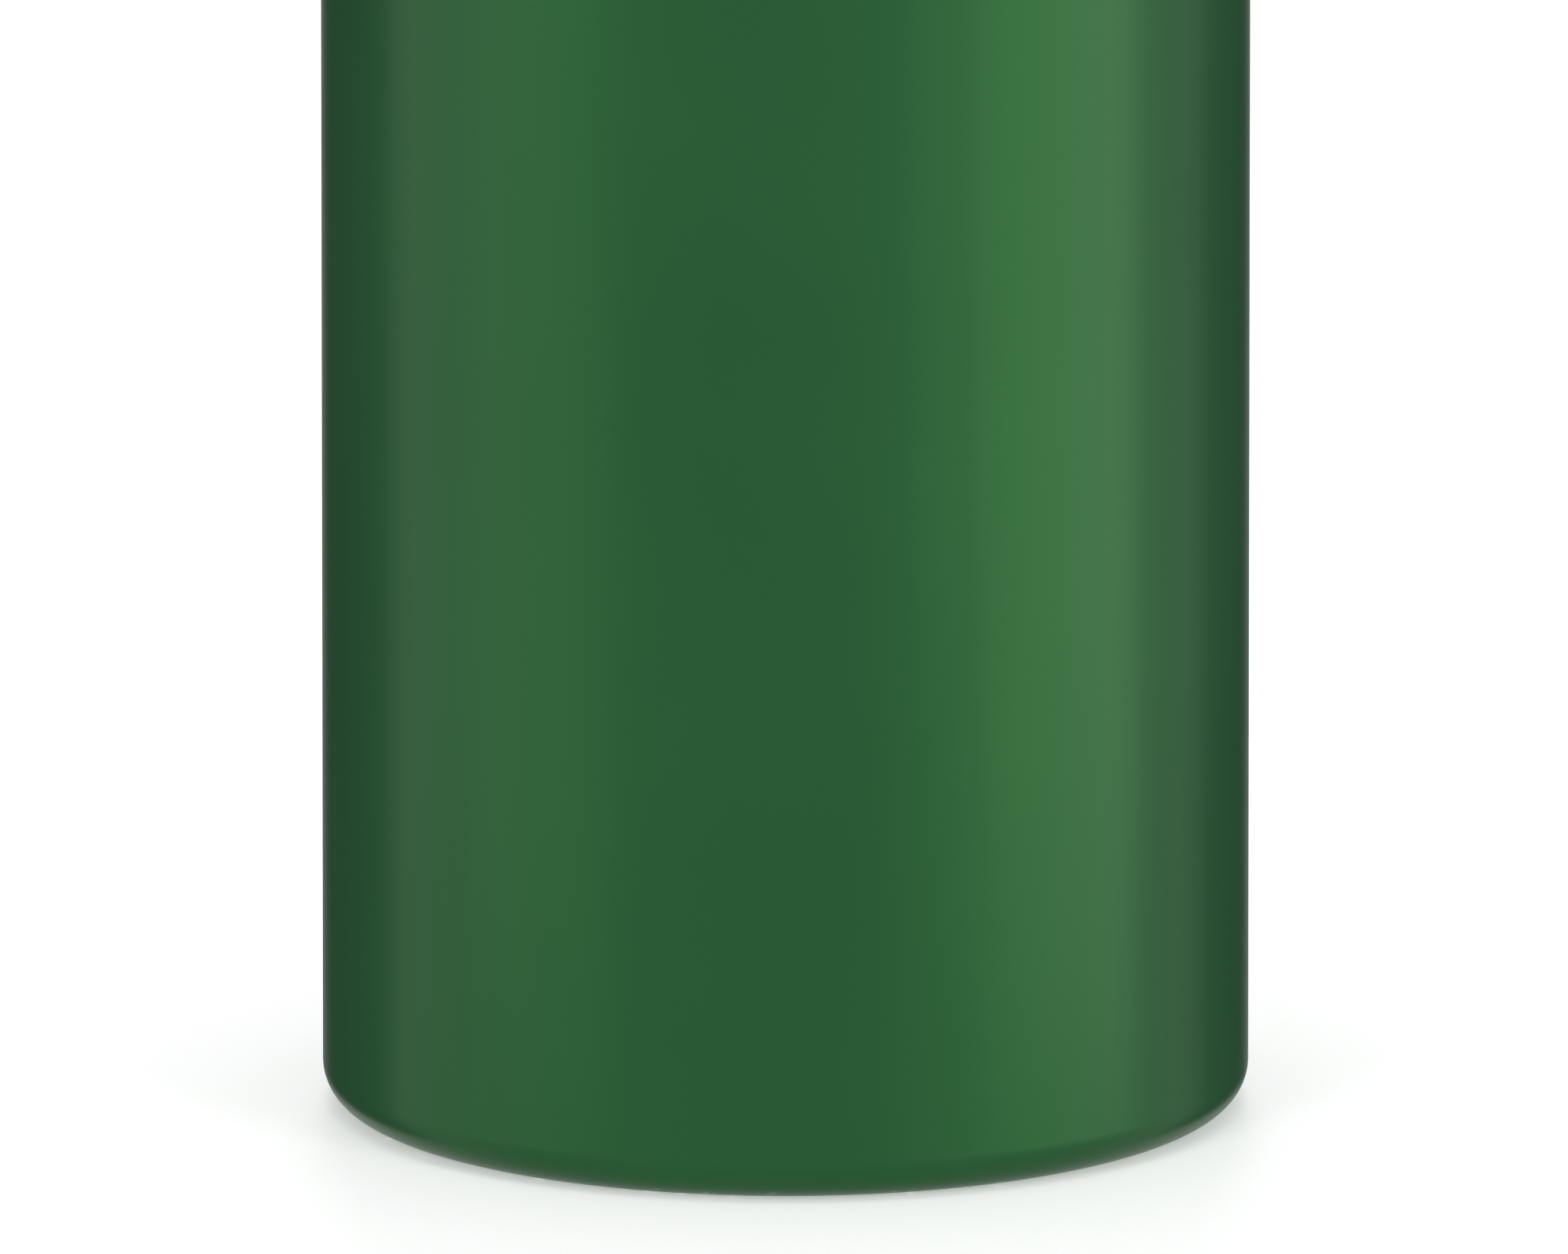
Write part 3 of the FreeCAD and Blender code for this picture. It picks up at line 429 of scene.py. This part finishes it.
# %% Turn the shell
shell_low, shell_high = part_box("cylinder_shell")
radius = min(shell_high.x, shell_high.y, -shell_low.x, -shell_low.y)
top = shell_high.z
BASE_CORNER = 0.005
DISH_RADIUS = 0.038
DISH_DEPTH = 0.0025
BASE_THICKNESS = 0.010
WALL = 0.0058
BASE_INNER_CORNER = 0.014
SHOULDER = 0.046
NECK_RADIUS = 0.0195
NECK_FILLET = 0.012
NECK_STRAIGHT = 0.006
NECK_BORE = 0.009525
SEAL_WIDTH = 0.0028
SEAL_DEPTH = 0.0026
EDGE_BREAK = 0.0008
TURNS = 256  # flats round the shell

shoulder_centre = radius - SHOULDER
across = NECK_RADIUS + NECK_FILLET - shoulder_centre
rise = math.sqrt((SHOULDER + NECK_FILLET) ** 2 - across**2)
fillet_height = top - NECK_STRAIGHT
shoulder_height = fillet_height - rise
meeting = math.degrees(math.atan2(rise, across))
dish_ball = (DISH_RADIUS**2 + DISH_DEPTH**2) / (2 * DISH_DEPTH)
dish_turn = math.degrees(math.asin(DISH_RADIUS / dish_ball))
inner_shoulder = SHOULDER - WALL
bore_turn = math.degrees(math.acos((NECK_BORE - shoulder_centre) / inner_shoulder))
floor_height = DISH_DEPTH + BASE_THICKNESS
inner_corner = (radius - WALL - BASE_INNER_CORNER, floor_height + BASE_INNER_CORNER)
neck_fillet_centre = (NECK_RADIUS + NECK_FILLET, fillet_height)

section = arc((0, DISH_DEPTH - dish_ball), dish_ball, 90, 90 - dish_turn, steps=12)
section += arc((radius - BASE_CORNER, BASE_CORNER), BASE_CORNER, -90, 0, steps=12)
section += arc((shoulder_centre, shoulder_height), SHOULDER, 0, meeting, steps=40)
section += arc(neck_fillet_centre, NECK_FILLET, 180 + meeting, 180, steps=16)[1:]
section += [
    (NECK_RADIUS, top - EDGE_BREAK),
    (NECK_RADIUS - EDGE_BREAK / 3, top - EDGE_BREAK / 3),
    (NECK_RADIUS - EDGE_BREAK, top),
    (NECK_BORE + SEAL_WIDTH, top),
    (NECK_BORE + SEAL_WIDTH, top - SEAL_DEPTH),
    (NECK_BORE, top - SEAL_DEPTH),
]
section += arc((shoulder_centre, shoulder_height), inner_shoulder, bore_turn, 0, steps=24)
section += arc(inner_corner, BASE_INNER_CORNER, 0, -90, steps=10)
section += [(0, floor_height)]
shell = turned("painted_shell", section, TURNS)

# %% [markdown]
# ## The green paint
# Sprayed enamel over smooth aluminium, cured in an oven. It is one colour, but never one
# flat number: the film is a little thicker in places, which darkens it by a few percent, and
# it dries with a faint orange-peel skin that softens every reflection. Where the cylinder
# stands, the paint is rubbed through in specks along the ring that touches the ground.

# %% Mix the paint
PAINT = (0.0205, 0.1020, 0.0385)
PAINT_THICK = (0.0190, 0.0950, 0.0360)
HIGHLIGHT = (0.31, 1.0, 0.22)  # the film's own colour tints what it mirrors
WORN_METAL = (0.50, 0.51, 0.52)
WEAR_HEIGHT = 0.0012  # specks reach this far up from the ground
CLOUD = 0.05  # size of the thick and thin places
SHEEN_PATCH = 0.02
SPECK = 0.0022
PEEL = 0.0016
PEEL_DEPTH = 0.00002
RING = 0.0012
RING_DEPTH = 0.00004
BARE_BRIGHT = (0.60, 0.61, 0.62)
BARE_DULL = (0.48, 0.49, 0.50)


def green_enamel():
    paint = Finish("green_enamel", Specular_Tint=HIGHLIGHT)
    film = paint.ramp(paint.noise(CLOUD, detail=3.0), [(0.35, 0.0), (0.7, 1.0)])
    green = paint.blend(film, PAINT, PAINT_THICK)
    near_ground = {"Value": paint.along("Z"), "From Min": WEAR_HEIGHT, "From Max": 0.0}
    low = paint.node("ShaderNodeMapRange", near_ground)
    chips = paint.ramp(paint.noise(SPECK, detail=4.0), [(0.60, 0.0), (0.64, 1.0)])
    rubbed = low * chips
    paint.set("Base Color", paint.blend(rubbed, green, WORN_METAL))
    paint.set("Metallic", rubbed)
    paint.set("Roughness", 0.27 + 0.05 * paint.noise(SHEEN_PATCH) + 0.10 * rubbed)
    peel = paint.noise(PEEL, detail=1.0)
    paint.bump(peel - rubbed, PEEL_DEPTH, 0.35)
    return paint


def bare_wall():
    """Inside, the metal is as the punch and the tap left it: dull, with faint rings."""
    finish = Finish("bare_wall", Metallic=1.0)
    rings = finish.noise(RING, detail=3.0, vector=finish.stretched(0.02, 0.02, 1.0))
    finish.set("Base Color", finish.blend(rings, BARE_BRIGHT, BARE_DULL))
    finish.set("Roughness", 0.32 + 0.14 * rings)
    finish.bump(rings, RING_DEPTH, 0.5)
    return finish


green_enamel().dress(shell)
shell.data.materials.append(bare_wall().material)
inner_barrel = radius - WALL + EDGE_BREAK
for face in shell.data.polygons:
    out_from_axis = math.hypot(face.center.x, face.center.y)
    within_wall = out_from_axis < inner_barrel and DISH_DEPTH + EDGE_BREAK < face.center.z
    facing_in = face.normal.dot(Vector((face.center.x, face.center.y, 0.0))) < 0.0
    in_bore = out_from_axis < NECK_BORE + SEAL_WIDTH + EDGE_BREAK / 2
    on_floor = abs(face.center.z - floor_height) < EDGE_BREAK
    if within_wall and (facing_in or in_bore or on_floor):
        face.material_index = 1
bare = sum(face.material_index == 1 for face in shell.data.polygons)
print("bare faces:", bare, "of", len(shell.data.polygons))
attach(shell, "shell_and_valve")
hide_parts("cylinder_shell")

# %% [markdown]
# ## Edges that a hand would not cut itself on
# No machined or moulded edge is perfectly sharp: a deburring tool or a die leaves a tiny
# radius, and that radius is what catches the light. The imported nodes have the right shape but
# knife edges, so most of the valve is made from copies of them. A copy's loose triangles are
# merged, flat faces are made whole again, and a Bevel modifier rounds every edge that turns
# by more than about thirty degrees. The modifier narrows itself to what the finest edge of a
# mesh allows, so that roundings seldom run into each other. Corners that all but coincide are
# merged before it and after it.

# %% Rounding tools
SHARP = math.radians(30.0)
SAME_POINT = 2e-6  # corners nearer than this are one corner
HAIR = 1e-5  # room for rounding errors in a test of where something is
FLAT = math.radians(0.5)


def select_only(piece):
    deselect()
    piece.select_set(True)
    bpy.context.view_layer.objects.active = piece


def apply_modifier(piece, name, kind, **settings):
    select_only(piece)
    modifier = piece.modifiers.new(name, kind)
    for key, value in settings.items():
        setattr(modifier, key, value)
    bpy.ops.object.modifier_apply(modifier=modifier.name)


def weld(piece):
    """Merge corners that all but coincide, and drop the slivers between them."""
    select_only(piece)
    bpy.ops.object.mode_set(mode="EDIT")
    bpy.ops.mesh.select_all(action="SELECT")
    bpy.ops.mesh.remove_doubles(threshold=SAME_POINT)
    bpy.ops.mesh.dissolve_degenerate(threshold=SAME_POINT)
    bpy.ops.object.mode_set(mode="OBJECT")


def round_edges(piece, radius, segments=3):
    settings = {"width": radius, "segments": segments, "limit_method": "ANGLE"}
    settings.update({"angle_limit": SHARP, "miter_outer": "MITER_ARC"})
    weld(piece)
    apply_modifier(piece, "rounded_edges", "BEVEL", **settings)
    weld(piece)
    bpy.ops.object.shade_smooth_by_angle(angle=SHARP)


def stand_for(piece, node):
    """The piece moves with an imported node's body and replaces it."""
    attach(piece, nodes[node]["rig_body"])
    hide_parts(node)
    print(piece.name, "has", len(piece.data.polygons), "faces")
    return piece


def deburred(node, name, radius, segments=3):
    """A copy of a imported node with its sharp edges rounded."""
    piece = bpy.data.objects.new(name, nodes[node].data.copy())
    bpy.context.scene.collection.objects.link(piece)
    select_only(piece)
    bpy.ops.mesh.customdata_custom_splitnormals_clear()
    bpy.ops.object.mode_set(mode="EDIT")
    bpy.ops.mesh.select_all(action="SELECT")
    bpy.ops.mesh.remove_doubles(threshold=SEAM)
    bpy.ops.mesh.dissolve_limited(angle_limit=FLAT)
    bpy.ops.object.mode_set(mode="OBJECT")
    round_edges(piece, radius, segments)
    return stand_for(piece, node)


post = deburred("valve_body", "valve_post", 0.0003)
nut = deburred("gland_nut", "gland_hexagon", 0.0002)
relief = deburred("relief_plug", "relief_hexagon", 0.0002)
spindle = deburred("upper_stem", "spindle_square", 0.00015)
washer = deburred("toggle_washer", "toggle_thin_washer", 0.00015)
screw = deburred("toggle_screw", "toggle_socket_screw", 0.00012)
washer_ring = deburred("outlet_washer_ring", "washer_metal_ring", 0.00015)
washer_seal = deburred("outlet_washer_seal", "washer_rubber_ring", 0.0002)

# %% [markdown]
# ## The toggle
# A small lever of cast aluminium on the spindle's square. Seen from above it is a round middle
# with two tapering arms, so its outline is two big arcs and two small ones, joined by lines
# that touch both. The outline is filled and extruded to its height. Each arm has a sunken
# panel on its top, as castings have to keep the walls even, and the hub is a short cylinder
# joined to it by a Boolean modifier.

# %% Cast the toggle
toggle_low, toggle_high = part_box("toggle_lever")
HUB_RADIUS = toggle_high.x
ARM_RISE = 0.0014  # the arms above the hub's lower face
ARM_HEIGHT = 0.007
ARM_ROOT = 0.006
ARM_TIP = 0.0045
ARM_ROUND = 0.0012
SQUARE_HALF = 0.0028
PANEL_RIM = 0.0014
PANEL_DEPTH = 0.0007
HUB_ROUND = 0.0008
TOGGLE_ROUND = 0.0003


def edit(piece):
    select_only(piece)
    bpy.ops.object.mode_set(mode="EDIT")
    bpy.ops.mesh.select_all(action="DESELECT")


def finish_edit():
    bpy.ops.object.mode_set(mode="OBJECT")


def choose_faces(piece, test):
    """In edit mode, select the faces whose centre and normal pass a test."""
    bpy.ops.mesh.select_mode(type="FACE")
    bpy.ops.mesh.select_all(action="DESELECT")
    bpy.ops.object.mode_set(mode="OBJECT")
    for face in piece.data.polygons:
        face.select = test(face.center, face.normal)
    count = sum(face.select for face in piece.data.polygons)
    bpy.ops.object.mode_set(mode="EDIT")
    return count


def plate(name, outline, low, tall):
    """A flat plate: an outline in the XY plane, filled and extruded upwards."""
    deselect()
    bpy.ops.mesh.primitive_circle_add(vertices=len(outline), radius=1.0, fill_type="NGON")
    piece = bpy.context.object
    piece.name = name
    for vertex, (x, y) in zip(piece.data.vertices, outline):
        vertex.co = (x, y, low)
    edit(piece)
    bpy.ops.mesh.select_all(action="SELECT")
    bpy.ops.mesh.extrude_region_move(TRANSFORM_OT_translate={"value": (0, 0, tall)})
    bpy.ops.mesh.select_all(action="SELECT")
    bpy.ops.mesh.normals_make_consistent(inside=False)
    finish_edit()
    return piece


def combine(piece, other, operation):
    """Join or cut one piece with another, which is used up."""
    settings = {"object": other, "operation": operation, "solver": "EXACT"}
    apply_modifier(piece, "joined", "BOOLEAN", **settings)
    bpy.data.objects.remove(other)


def toggle_outline(reach, steps):
    """Middle arc, tip arc, middle arc, tip arc, each an arc between two tangent lines."""
    lean = math.degrees(math.asin((ARM_ROOT - ARM_TIP) / reach))
    right = arc((0, 0), ARM_ROOT, -lean, lean, steps // 4)
    front = arc((0, reach), ARM_TIP, lean, 180 - lean, steps)
    left = arc((0, 0), ARM_ROOT, 180 - lean, 180 + lean, steps // 4)
    back = arc((0, -reach), ARM_TIP, 180 + lean, 360 - lean, steps)
    return right + front + left + back


arms_low = toggle_low.z + ARM_RISE
arms_top = arms_low + ARM_HEIGHT
reach = toggle_high.y - ARM_TIP
toggle = plate("toggle_casting", toggle_outline(reach, steps=16), arms_low, ARM_HEIGHT)

edit(toggle)
choose_faces(toggle, lambda centre, normal: abs(normal.z) > 0.9)
bpy.ops.mesh.select_mode(type="EDGE")
bpy.ops.mesh.region_to_loop()
bpy.ops.mesh.bevel(offset=ARM_ROUND, segments=5, affect="EDGES")
choose_faces(toggle, lambda centre, normal: normal.z > 0.99 and centre.z > arms_top - HAIR)
bpy.ops.mesh.inset(thickness=PANEL_RIM)
bpy.ops.mesh.extrude_region_move(TRANSFORM_OT_translate={"value": (0, 0, -PANEL_DEPTH)})
finish_edit()

hub_middle = (toggle_low.z + toggle_high.z) / 2
hub_height = toggle_high.z - toggle_low.z
deselect()
settings = {"radius": HUB_RADIUS, "depth": hub_height, "location": (0, 0, hub_middle)}
bpy.ops.mesh.primitive_cylinder_add(vertices=96, **settings)
hub = bpy.context.object
round_edges(hub, HUB_ROUND, segments=4)
combine(toggle, hub, "UNION")
deselect()
bpy.ops.mesh.primitive_cube_add(size=2 * SQUARE_HALF, location=(0, 0, hub_middle))
square = bpy.context.object
square.scale.z = 4.0  # well through the hub
combine(toggle, square, "DIFFERENCE")
round_edges(toggle, TOGGLE_ROUND)
stand_for(toggle, "toggle_lever")

# %% [markdown]
# ## The dust cap
# A soft moulded channel that snaps round the front of the post, over the outlet and the two
# pin-index holes. Its plan is a U with two round corners, extruded upwards. Inside, a shallow
# pocket makes room for the sealing washer, which sits on a stub of its own, and a ribbed tab
# at the foot gives a thumb something to pull.

# %% Mould the cap
cap_low, cap_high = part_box("dust_cap")
CAP_WALL = 0.0014
CAP_ROUND = 0.0025
CAP_FRONT = 0.0174
POST_FRONT = 0.01435
POCKET_FRONT = 0.0160
POCKET_EDGE = 0.0020
POCKET_SHELF = 0.0011
TAB_WIDTH = 0.013
TAB_THICKNESS = 0.0018
STUB_RADIUS = 0.00385
STUB_END = 0.0137
OUTLET_HEIGHT = (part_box("outlet_washer_ring")[0].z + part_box("outlet_washer_ring")[1].z) / 2
RIB_RADIUS = 0.00045
RIB_SINK = 0.0001  # the ribs' axes below the tab's face
RIB_SHARE = 0.72  # of the tab's width
RIBS = 4
CAP_EDGE = 0.0003

half = cap_high.x
inner = half - CAP_WALL
rear = cap_high.y
outline = [(half, rear), (inner, rear), (inner, -POST_FRONT), (-inner, -POST_FRONT)]
outline += [(-inner, rear), (-half, rear)]
outline += arc((CAP_ROUND - half, CAP_ROUND - CAP_FRONT), CAP_ROUND, 180, 270, steps=6)
outline += arc((half - CAP_ROUND, CAP_ROUND - CAP_FRONT), CAP_ROUND, 270, 360, steps=6)
cap = plate("moulded_cap", outline, cap_low.z, cap_high.z - cap_low.z)


def block(low, high):
    """A plain block between two corners, ready to be joined or cut."""
    deselect()
    bpy.ops.mesh.primitive_cube_add(size=1.0, location=(low + high) / 2)
    made = bpy.context.object
    made.scale = high - low
    bpy.ops.object.transform_apply(location=False)
    return made


pocket_low = Vector((POCKET_SHELF - inner, -POCKET_FRONT, cap_low.z + POCKET_EDGE))
pocket_high = Vector((inner - POCKET_SHELF, 0, cap_high.z - POCKET_EDGE))
combine(cap, block(pocket_low, pocket_high), "DIFFERENCE")

tab_low = Vector((-TAB_WIDTH / 2, cap_low.y, cap_low.z))
tab_high = Vector((TAB_WIDTH / 2, CAP_WALL / 2 - CAP_FRONT, cap_low.z + TAB_THICKNESS))
tab = block(tab_low, tab_high)
edit(tab)
choose_faces(tab, lambda centre, normal: normal.y < -0.9)
bpy.ops.mesh.select_mode(type="EDGE")
# This is wider than the tab is thick, so the rounded faces at its front cross: a known fault.
bpy.ops.mesh.bevel(offset=CAP_ROUND, segments=6, affect="EDGES")
finish_edit()
combine(cap, tab, "UNION")

deselect()
stub_middle = -(CAP_FRONT - CAP_WALL / 2 + STUB_END) / 2
stub = {"radius": STUB_RADIUS, "depth": CAP_FRONT - CAP_WALL / 2 - STUB_END, "vertices": 48}
place = {"location": (0, stub_middle, OUTLET_HEIGHT), "rotation": (math.pi / 2, 0, 0)}
bpy.ops.mesh.primitive_cylinder_add(**stub, **place)
bpy.ops.object.transform_apply()
combine(cap, bpy.context.object, "UNION")

tab_reach = CAP_FRONT + cap_low.y
for index in range(RIBS):
    deselect()
    y = cap_low.y - tab_reach * (index + 1) / (RIBS + 1.5)
    spot = (0, y, cap_low.z + TAB_THICKNESS - RIB_SINK)
    rib = {"radius": RIB_RADIUS, "depth": TAB_WIDTH * RIB_SHARE, "vertices": 16}
    bpy.ops.mesh.primitive_cylinder_add(**rib, location=spot, rotation=(0, math.pi / 2, 0))
    bpy.ops.object.transform_apply()
    combine(cap, bpy.context.object, "UNION")
round_edges(cap, CAP_EDGE)
stand_for(cap, "dust_cap")

# %% [markdown]
# ## Metals
# Every metal on the valve was turned, milled or cast, and each way of working leaves its own
# faint marks. A turned face has rings about its axis, so the marks follow the distance from
# that axis. A milled or drawn face has straight streaks, made here by stretching a noise a
# hundred times longer one way than the other. Fingers add cloudy patches of duller metal.
# None of this changes the shape: it only breaks up the reflections.

# %% Mix the metals
TURNING_PITCH = 0.00012
STREAK = 0.00015
FINGER = 0.006
SAND = 0.0005
CHROME = (0.66, 0.665, 0.67)
BRASS = (0.68, 0.47, 0.20)
PLUG_BRASS = (0.66, 0.45, 0.19)
ZINC = (0.55, 0.56, 0.57)
COPPER = (0.72, 0.36, 0.22)
FUSIBLE = (0.50, 0.51, 0.53)
ALUMINIUM = (0.54, 0.55, 0.56)
FINE_MARKS = 0.000006  # metres deep
ZINC_MARKS = 0.000008
TOOL_MARKS = 0.00001
COARSE_MARKS = 0.00002
SAND_MARKS = 0.00003


def from_axis(finish, along, height=0.0):
    """Distance from a piece's own axis, which is upright or, at some height, along Y."""
    point = finish.place()
    if along == "Y":
        shift = {"Location": (0.0, 0.0, -height), "Vector": point}
        point = finish.node("ShaderNodeMapping", shift)
    flat = {"Z": (1.0, 1.0, 0.0), "Y": (1.0, 0.0, 1.0)}[along]
    across = finish.node("ShaderNodeVectorMath", {0: point, 1: flat}, {"operation": "MULTIPLY"})
    length = {"operation": "LENGTH"}
    return finish.node("ShaderNodeVectorMath", {0: across}, length, output="Value")


def turning_marks(finish, along="Z", height=0.0):
    """Rings on the end faces and bands on the sides, as a lathe tool leaves them."""
    rings = from_axis(finish, along, height)
    path = finish.node("ShaderNodeCombineXYZ", {"X": rings, "Y": finish.along(along)})
    return finish.noise(TURNING_PITCH, detail=2.0, vector=path)


def streaks(finish, x, y, z):
    """Fine lines that run along the direction whose number is small."""
    return finish.noise(STREAK, detail=3.0, vector=finish.stretched(x, y, z))


def metal(name, colour, dull, roughness, marks, depth, **sockets):
    """A bare or plated metal: two near colours, a roughness that wanders, and tool marks."""
    finish = Finish(name, Metallic=1.0, **sockets)
    touched = finish.ramp(finish.noise(FINGER, detail=4.0), [(0.42, 0.0), (0.68, 1.0)])
    finish.set("Base Color", finish.blend(touched, colour, dull))
    lines = marks(finish)
    finish.set("Roughness", roughness + 0.10 * touched + 0.08 * lines)
    finish.bump(lines, depth, 0.5)
    return finish


PLUG_HEIGHT = sum(corner.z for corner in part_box("relief_plug")) / 2


def milled(finish):
    return streaks(finish, 1.0, 1.0, 0.02)


def turned_along_plug(finish):
    return turning_marks(finish, "Y", PLUG_HEIGHT)


dull = (0.56, 0.565, 0.575)
chrome = metal("satin_chrome", CHROME, dull, 0.13, milled, FINE_MARKS)
dull = (0.57, 0.575, 0.58)
turned_chrome = metal("turned_chrome", CHROME, dull, 0.12, turning_marks, FINE_MARKS)
dull = (0.50, 0.33, 0.15)
brass = metal("turned_brass", BRASS, dull, 0.22, turning_marks, TOOL_MARKS)
dull = (0.47, 0.31, 0.14)
plug_brass = metal("hexagon_brass", PLUG_BRASS, dull, 0.24, turned_along_plug, TOOL_MARKS)
dull = (0.42, 0.43, 0.45)
steel = metal("zinc_plated_steel", ZINC, dull, 0.25, turning_marks, ZINC_MARKS)
dull = (0.45, 0.22, 0.14)
copper = metal("soft_copper", COPPER, dull, 0.30, turning_marks, TOOL_MARKS)
dull = (0.38, 0.39, 0.41)
fusible = metal("fusible_alloy", FUSIBLE, dull, 0.42, turning_marks, COARSE_MARKS)


def cast_aluminium():
    """Sand leaves a fine grain; years of hands polish it a little in cloudy patches."""
    finish = Finish("cast_aluminium", Metallic=1.0)
    touched = finish.ramp(finish.noise(FINGER, detail=4.0), [(0.35, 0.0), (0.65, 1.0)])
    finish.set("Base Color", finish.blend(touched, ALUMINIUM, (0.45, 0.46, 0.47)))
    grain = finish.noise(SAND, detail=3.0)
    finish.set("Roughness", 0.36 + 0.12 * grain - 0.06 * touched)
    finish.bump(grain, SAND_MARKS, 0.6)
    return finish


# %% [markdown]
# ## Plastics and rubber
# The dust cap is a soft white moulding: light goes a little way into it, its surface has the
# fine spark-eroded grain of the mould, and it picks up faint grey dirt. The sealing rings are
# black nitrile rubber, dull with a bloom of talc. The thrust washer and the seat disc are
# turned from nylon.

# %% Mix the plastics
SMUDGE = 0.008
GRAIN_DEPTH = 0.000015
POLYTHENE = (0.74, 0.75, 0.72)
NYLON = (0.72, 0.70, 0.62)
NITRILE = (0.018, 0.018, 0.019)


def soft_moulding(name, colour, dirt, roughness, grain_size, **sockets):
    finish = Finish(name, **sockets)
    smudge = finish.ramp(finish.noise(SMUDGE, detail=5.0), [(0.5, 0.0), (0.8, 1.0)])
    finish.set("Base Color", finish.blend(smudge, colour, dirt))
    grain = finish.noise(grain_size, detail=2.0)
    finish.set("Roughness", roughness + 0.12 * grain)
    finish.bump(grain, GRAIN_DEPTH, 0.5)
    return finish


depth = {"Subsurface_Weight": 0.15, "Subsurface_Scale": 0.002}
dirt = (0.62, 0.62, 0.58)
cap_white = soft_moulding("white_polythene", POLYTHENE, dirt, 0.38, 0.00035, **depth)
nylon = soft_moulding("turned_nylon", NYLON, (0.62, 0.60, 0.50), 0.42, 0.0003)
rubber = soft_moulding("nitrile_rubber", NITRILE, (0.05, 0.05, 0.05), 0.55, 0.0004)

# %% Dress every piece
chrome.dress(post)
turned_chrome.dress(nut)
plug_brass.dress(relief)
brass.dress(spindle, washer_ring, nodes["seat_plug"], nodes["anti_debris_tube"])
steel.dress(washer, screw)
cast_aluminium().dress(toggle)
cap_white.dress(cap)
rings = ["neck_o_ring", "gland_o_ring", "stem_o_ring"]
rubber.dress(washer_seal, *[nodes[name] for name in rings])
nylon.dress(nodes["thrust_washer"], nodes["seat_disc"])
copper.dress(nodes["relief_gasket"], nodes["burst_disc"])
fusible.dress(nodes["fusible_slug"])
print("every piece has its finish")
